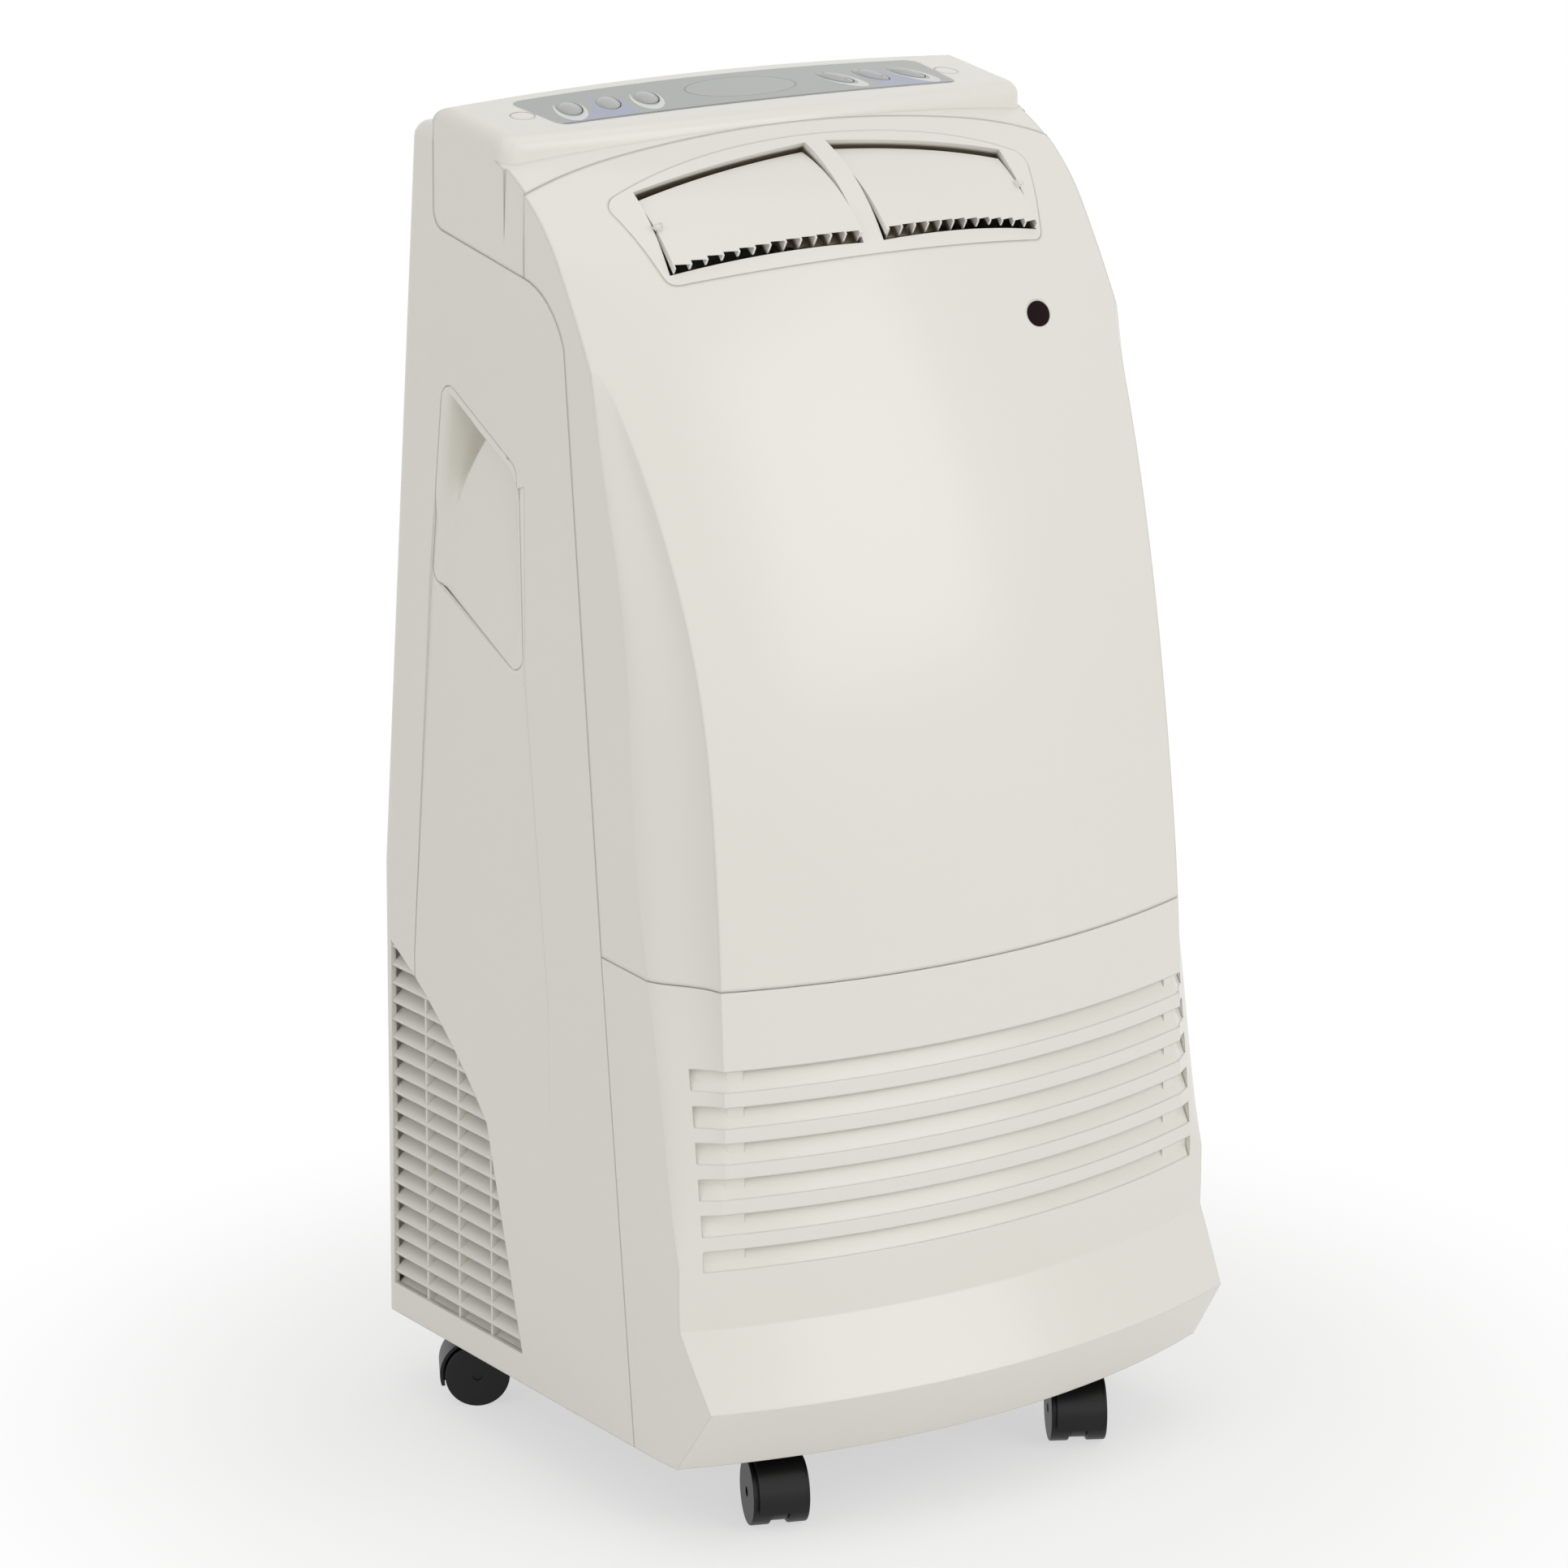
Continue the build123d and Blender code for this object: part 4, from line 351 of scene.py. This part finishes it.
own_finishes = {
    "top_cover": plugged_cap("cap_white"),
    # vent frame: painted shade from 2 mm behind the front face, over the gap walls too
    "vent_frame": shaded_inside("outlet_frame", 0.0, 2.0 * millimetre, 5.0 * millimetre),
    "upper_front_panel": front_white,
}
own_finishes.update({node: caster_black for node in frame["nodes"] if node.endswith("_caster_axle")})
for node, finish in own_finishes.items():
    frame["nodes"][node].data.materials[0] = finish.material


# Pieces that are added, or that take a plainer node's place
weld = 0.002 * millimetre
sharp_angle = math.radians(35)


def in_scene(name, data):
    """New object with this data, linked to the scene."""
    made = bpy.data.objects.new(name, data)
    bpy.context.scene.collection.objects.link(made)
    return made


def to_object(name, shape):
    """New object from a bmesh, which is freed."""
    mesh = bpy.data.meshes.new(name)
    shape.to_mesh(mesh)
    shape.free()
    return in_scene(name, mesh)


def add_piece(name, shape, body, slot, *looks):
    """Turns a bmesh into a piece that rides on a body, smooth but for its sharp edges."""
    bmesh.ops.remove_doubles(shape, verts=shape.verts, dist=weld)
    bmesh.ops.recalc_face_normals(shape, faces=shape.faces)
    piece = to_object(name, shape)
    piece.data.shade_smooth()
    piece.data.set_sharp_from_angle(angle=sharp_angle)
    for look in looks:
        piece.data.materials.append(look.material)
    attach(piece, body)
    return piece


def surface(node, place, direction):
    """Where a ray meets a node's skin."""
    hit, spot = frame["nodes"][node].ray_cast(Vector(place), Vector(direction))[:2]
    return spot if hit else None


def strip(shape, rings):
    """Skins a row of closed rings and caps both ends."""
    rows = [[shape.verts.new(point) for point in ring] for ring in rings]
    count = len(rows[0])
    for first, second in zip(rows, rows[1:]):
        for n in range(count):
            shape.faces.new((first[n], first[(n + 1) % count], second[(n + 1) % count], second[n]))
    shape.faces.new(rows[0])
    shape.faces.new(rows[-1])


def louvre_floors():
    """Sloping floor behind each front slot, from the bar below up and back under the bar above."""
    top, pitch, gap, count = 290.6, 21.4, 12.4, 6
    half_width, columns, depth, thick, lap = 177.6, 72, 7.0, 1.2, 0.8
    start, set_back, probe = -500, 0.7, 1.5
    shape = bmesh.new()
    for number in range(count):
        high = top - pitch * number
        low = high - gap
        rings = []
        for column in range(columns + 1):
            x = half_width * (2 * column / columns - 1)
            above, below = (
                surface("lower_front_panel", Vector((x, start, z)) * millimetre, (0, 1, 0)).y / millimetre
                for z in (high + probe, low - probe)
            )
            section = [
                (below + set_back, low - lap),
                (above + depth, high + lap),
                (above + depth + thick, high + lap),
                (below + set_back + thick, low - lap),
            ]
            rings.append([Vector((x, y, z)) * millimetre for y, z in section])
        strip(shape, rings)
    add_piece("front_louvre_floors", shape, body_of("lower_front_panel"), "housing_white", housing_white)


def domed_button(node):
    """Low oval dome on a thin flange that closes the hole in the film, with touch dots on two of them."""
    half_p, half_q, dome, rise, step, skirt = 7.0, 13.0, 0.82, 1.5, 0.3, 2.0
    flange_start, flange_foot, flange_edge = 0.02, 0.08, 0.02
    segments, dome_rings, probe, start = 56, 10, 1.5, 50.0
    dot_reach, dot_radius, dot_height = 8.0, 1.0, 0.5
    spot = middle(node)
    side = 1.0 if spot.x < 0 else -1.0
    long_axis = Vector((side * math.sin(button_turn), math.cos(button_turn), 0))
    cross_axis = Vector((long_axis.y, -long_axis.x, 0))
    above = spot + Vector((0, 0, start * millimetre))
    around = [
        surface("control_overlay", above + axis * reach * sign * millimetre, (0, 0, -1))
        for axis, reach in ((long_axis, half_q + probe), (cross_axis, half_p + probe))
        for sign in (1, -1)
    ]
    along, across = (around[0] - around[1]).normalized(), (around[2] - around[3]).normalized()
    up = along.cross(across)
    up = up if up.z > 0 else -up
    origin = sum(around, Vector()) / len(around)

    def at(share, angle, height):
        flat = across * (half_p * share * math.cos(angle)) + along * (half_q * share * math.sin(angle))
        return origin + (flat + up * height) * millimetre

    def dome_height(share):
        return step + rise * (1 - (share / dome) ** 2) ** 0.8

    shares = [number * dome / dome_rings for number in range(1, dome_rings + 1)]
    levels = [(share, dome_height(share)) for share in shares]
    levels += [(dome + flange_start, flange_foot), (1.0, flange_edge), (1.0, -skirt)]
    shape = bmesh.new()
    rows = [
        [shape.verts.new(at(share, 2 * math.pi * n / segments, height)) for n in range(segments)]
        for share, height in levels
    ]
    for ring in (rows[0], rows[-1]):
        shape.faces.new(ring)
    for level, (inner, outer) in enumerate(zip(rows, rows[1:])):
        for n in range(segments):
            after = (n + 1) % segments
            face = shape.faces.new((inner[n], inner[after], outer[after], outer[n]))
            face.material_index = int(level >= dome_rings)
    if node in dotted_buttons:
        turn = up.to_track_quat("Z", "Y").to_matrix().to_4x4()
        size = Vector((dot_radius, dot_radius, dot_height)) * millimetre
        for end in (-1, 1):
            share = dot_reach / half_q
            place = Matrix.Translation(at(share, end * math.pi / 2, dome_height(share)))
            dot = place @ turn @ Matrix.Diagonal((*size, 1.0))
            bmesh.ops.create_uvsphere(shape, u_segments=16, v_segments=10, radius=1.0, matrix=dot)
    piece = add_piece(node + "_dome", shape, body_of(node), slots[node], button_grey, film_grey)
    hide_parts(node)


def comb_cutters(node):
    """Boxes for the air openings between the vanes, set on the lower edge of the flap's plate."""
    count, mullion, outer, vane, height = 12, 10.0, flap_outer_reach, 1.2, 4.4
    below_edge, through, probe, crease, start = 4.0, 10.0, 0.2, 0.6, -0.5
    side = -1.0 if middle(node).x < 0 else 1.0
    pitch = (outer - mullion) / count
    size = Vector(((pitch - vane) * millimetre, through * millimetre, (height + below_edge) * millimetre))
    cutters = bmesh.new()
    for number in range(count):
        x = side * (mullion + pitch * (number + 0.5)) * millimetre
        edge = middle(node).z
        front = surface(node, (x, start, edge), (0, 1, 0))
        below = front
        while below and abs(below.y - front.y) < crease * millimetre:
            front, edge = below, edge - probe * millimetre
            below = surface(node, (x, start, edge), (0, 1, 0))
        place = Vector((x, front.y, edge + (height - below_edge) / 2 * millimetre))
        box = Matrix.Translation(place) @ Matrix.Diagonal((*size, 1.0))
        bmesh.ops.create_cube(cutters, size=1.0, matrix=box)
    return cutters


def combed_flap(node):
    """The flap with a row of air openings cut into its lower edge, and slimmer ends on its outer pin."""
    pin_radius, pin_slimming = 2.5 * millimetre, 0.55
    shape = bmesh.new()
    shape.from_mesh(frame["nodes"][node].data)
    bmesh.ops.remove_doubles(shape, verts=shape.verts, dist=weld)
    for vert in shape.verts:
        arm = Vector((0, vert.co.y - flap_pin.y, vert.co.z - flap_pin.z))
        if abs(vert.co.x) > flap_outer_reach * millimetre and arm.length < pin_radius * 1.02:
            vert.co -= arm * pin_slimming
    knife = to_object(node + "_knife", comb_cutters(node))
    whole = to_object(node + "_whole", shape)
    cut = whole.modifiers.new("comb", "BOOLEAN")
    cut.operation, cut.solver, cut.object = "DIFFERENCE", "EXACT", knife
    view = bpy.context.evaluated_depsgraph_get()
    shape = bmesh.new()
    shape.from_mesh(whole.evaluated_get(view).to_mesh())
    bpy.data.objects.remove(whole)
    bpy.data.objects.remove(knife)
    piece = add_piece(node + "_comb", shape, body_of(node), slots[node], outlet_white)
    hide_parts(node)


def ease(value, low, high):
    """Smooth ramp from zero to one."""
    share = min(max((value - low) / (high - low), 0.0), 1.0)
    return share * share * (3 - 2 * share)


# Outline of the right grip in side view, in millimetres: y and z of its corners
front_low, front_high = Vector((31.5, 486.0)), Vector((36.5, 613.0))
rear_high, rear_low = Vector((117.0, 654.0)), Vector((133.0, 530.0))
grip_corners = [front_low, front_high, rear_high, rear_low]
grip_gap, grip_corner, grip_rim = 0.3, 10.0, 5.0
band_start, band_end = Vector((125.0, 574.0)), Vector((28.0, 603.0))


def skin_level(z):
    """Half the housing's width at a height, in millimetres."""
    base_width, taper, foot, height = 385.6, 13.6, 50, 750
    return (base_width - taper * (z - foot) / height) / 2


def band_depth(z):
    """How far the band below the grip lies under the skin, in millimetres."""
    deepest, foot, height = 2.0, 200, 454
    return deepest * (z - foot) / height


def edge_distance(point, first, second):
    """Distance of a point in side view from the line between two others, positive on its right."""
    run = (second - first).normalized()
    return (point.x - first.x) * run.y - (point.y - first.y) * run.x


def inset_outline(inset):
    """Corners of the grip's outline, drawn in by the same distance from both edges that meet there."""
    drawn_in = []
    for n, here in enumerate(grip_corners):
        first = (here - grip_corners[n - 1]).normalized()
        second = (grip_corners[(n + 1) % 4] - here).normalized()
        inward_first, inward_second = Vector((first.y, -first.x)), Vector((second.y, -second.x))
        bisector = (inward_first + inward_second) / (1 + inward_first.dot(inward_second))
        drawn_in.append(here + bisector * inset)
    return drawn_in


def rounded(point, centres):
    """Draws a point in to the rounded corner where it lies outside it."""
    radius = grip_corner - grip_gap
    for n, here in enumerate(grip_corners):
        before = edge_distance(point, grip_corners[n - 1], here)
        after = edge_distance(point, here, grip_corners[(n + 1) % 4])
        away = point - centres[n]
        if before < grip_corner and after < grip_corner and away.length > radius:
            return centres[n] + away.normalized() * radius
    return point


def grip_depth(point):
    """Depth of the palm floor, and of the finger pocket behind the curved ridge."""
    palm, palm_start, pocket, pocket_run = 13.0, 8, 34.0, 12.0
    ridge_y, ridge_z, ridge_slope, ridge_curve, ridge_facing = 109, 584, 0.542, 0.00396, 0.86
    y, z = point
    front, top, rear = (edge_distance(point, grip_corners[n], grip_corners[n + 1]) for n in range(3))
    front_wall = ease(front, grip_rim - 2, grip_rim + 3)
    wall = front_wall * ease(top, grip_rim, grip_rim + 6) * ease(rear, grip_rim, grip_rim + 9)
    floor = palm * max(z - front_low.y - palm_start, 0.0) / (rear_high.y - front_low.y)
    ridge = ridge_y - ridge_slope * (z - ridge_z) - ridge_curve * (z - ridge_z) ** 2
    behind = ease((y - ridge) * ridge_facing, 0.0, pocket_run)
    pocket_wall = ease(rear, grip_rim + 1, grip_rim + 13) * ease(top, grip_rim, grip_rim + 8)
    return wall * floor + (pocket - floor) * behind * pocket_wall


def grip_face(point, side, sunk):
    """Place on the grip's skin for a point of its side view."""
    band = band_depth(point.y) * ease(edge_distance(point, band_end, band_start), -10.0, 10.0)
    x = skin_level(point.y) - band - grip_depth(point) - sunk
    return Vector((side * x, point.x, point.y)) * millimetre


def moulded_grip(node):
    """Handle insert with a sloping palm floor and a finger pocket, and the ramp in front of it."""
    columns, rows, steps, lap, thick, flush = 84, 130, 24, 0.3, 2.0, 0.05
    side = -1.0 if middle(node).x < 0 else 1.0
    outline, centres = inset_outline(grip_gap), inset_outline(grip_corner)
    shape = bmesh.new()
    skins = []
    for sunk in (flush, thick):
        skin = []
        for row in range(rows + 1):
            front = outline[0].lerp(outline[1], row / rows)
            rear = outline[3].lerp(outline[2], row / rows)
            line = [rounded(front.lerp(rear, column / columns), centres) for column in range(columns + 1)]
            skin.append([shape.verts.new(grip_face(point, side, sunk)) for point in line])
        skins.append(skin)
        for lower, upper in zip(skin, skin[1:]):
            for n in range(columns):
                shape.faces.new((lower[n], lower[n + 1], upper[n + 1], upper[n]))

    def border(skin):
        left, right = [line[0] for line in skin], [line[-1] for line in skin]
        return skin[0] + right[1:] + skin[-1][-2::-1] + left[-2:0:-1]

    outer_rim, inner_rim = border(skins[0]), border(skins[1])
    for n in range(len(outer_rim)):
        shape.faces.new((outer_rim[n - 1], outer_rim[n], inner_rim[n], inner_rim[n - 1]))
    bmesh.ops.dissolve_degenerate(shape, edges=shape.edges, dist=0.01 * millimetre)
    rings = []
    for n in range(steps + 1):
        z = front_low.y + (band_end.y - front_low.y) * n / steps
        share = (z - front_low.y) / (front_high.y - front_low.y)
        edge, start = front_low.lerp(front_high, share).x - grip_gap, band_end.x - lap
        high, low = skin_level(z), skin_level(z) - band_depth(z)
        section = [(high, start), (low, edge), (low - thick / 2, edge), (low - thick / 2, start)]
        rings.append([Vector((side * x, y, z)) * millimetre for x, y in section])
    strip(shape, rings)
    piece = add_piece(node + "_moulding", shape, body_of(node), slots[node], housing_white)
    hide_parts(node)


dotted_buttons = ("right_button_1", "right_button_2")
louvre_floors()
for group in ("left", "right"):
    moulded_grip(group + "_handle_insert")
    combed_flap(group + "_flap")
    for number in (1, 2, 3):
        domed_button(f"{group}_button_{number}")


# Studio: pale floor, white surround, soft lights and the camera
def seen_directly(place):
    """One for rays from the camera, mirrors and glass, zero for the rays that light things."""
    path = place.node("LightPath").socket.node
    names = ("Is Camera Ray", "Is Glossy Ray", "Is Transmission Ray")
    camera, mirror, glass = (Tone(place.tree, path.outputs[name]) for name in names)
    return camera.math("MAXIMUM", mirror).math("MAXIMUM", glass)


def studio_floor():
    """White floor that keeps the object's soft shadow near its feet."""
    reach, shadow_start, shadow_end = 12.0, 0.25, 0.62
    mesh = bpy.data.meshes.new("studio_floor")
    corners = [(-reach, -reach, 0), (reach, -reach, 0), (reach, reach, 0), (-reach, reach, 0)]
    mesh.from_pydata(corners, [], [(0, 1, 2, 3)])
    floor = in_scene("studio_floor", mesh)
    paint = Finish("studio_floor")
    paint.paint(paint.noise(1.5).step(0.3, 0.7).mix((0.93, 0.93, 0.92, 1), (0.91, 0.91, 0.90, 1)))
    paint.put("Roughness", 0.8)
    away = (paint.x * paint.x + paint.y * paint.y) ** 0.5
    share = seen_directly(paint.place) * away.step(shadow_start, shadow_end, 0.6, 1.0)
    white = share.node("Emission", {"Color": (1, 1, 1, 1), "Strength": 1.0})
    lit = Tone(paint.tree, paint.shader.outputs[0])
    blend = share.node("MixShader", {0: share, 1: lit, 2: white})
    paint.tree.links.new(blend.socket, paint.tree.nodes["Material Output"].inputs["Surface"])
    mesh.materials.append(paint.material)


def soft_light(name, place, target, size, power):
    """White rectangular light that faces a target."""
    lamp = bpy.data.lights.new(name, "AREA")
    lamp.shape = "RECTANGLE"
    lamp.size, lamp.size_y = size
    lamp.energy = power
    holder = in_scene(name, lamp)
    holder.location = place
    aim = Vector(target) - Vector(place)
    holder.rotation_euler = aim.to_track_quat("-Z", "Y").to_euler()


def surround():
    """White all round for what is seen directly, at half strength for what it lights."""
    world = bpy.data.worlds.new("surround")
    world.use_nodes = True
    tree = world.node_tree
    tree.nodes.clear()
    out = tree.nodes.new("ShaderNodeOutputWorld")
    seen = seen_directly(Tone(tree, None))
    glow = seen.node("Background", {"Color": (1, 1, 1, 1), "Strength": seen.step(0.0, 1.0, 0.5, 1.0)})
    tree.links.new(glow.socket, out.inputs["Surface"])
    bpy.context.scene.world = world


def photo_camera():
    """The fitted camera of the photograph."""
    azimuth, elevation = math.radians(-34.768), math.radians(15.740)
    place = (-1.90651, -2.71033, 1.33585)
    focal_pixels, picture_pixels, sensor = 7080.0, 1932.0, 36.0
    level = math.cos(elevation)
    back = Vector((math.sin(azimuth) * level, -math.cos(azimuth) * level, math.sin(elevation)))
    right = Vector((math.cos(azimuth), math.sin(azimuth), 0))
    turn = Matrix((right, back.cross(right), back)).transposed()
    lens = bpy.data.cameras.new("photo_camera")
    lens.sensor_width = sensor
    lens.lens = focal_pixels / picture_pixels * sensor
    lens.clip_end = 100.0
    holder = in_scene("photo_camera", lens)
    holder.matrix_world = Matrix.Translation(place) @ turn.to_4x4()
    bpy.context.scene.camera = holder


studio_floor()
surround()
photo_camera()
soft_light("front_softbox", (1.2, -2.9, 1.9), (0, 0, 0.45), (2.2, 2.2), 27.0)
soft_light("left_softbox", (-2.6, -0.6, 1.7), (0, 0, 0.45), (1.6, 2.2), 8.5)
soft_light("top_softbox", (-0.2, -0.2, 3.0), (0, 0, 0.5), (2.6, 2.6), 11.5)
soft_light("edge_strip", (-1.0, -2.8, 1.0), (0, 0, 0.5), (0.16, 1.3), 3.5)
bpy.context.scene.view_settings.view_transform = "Standard"
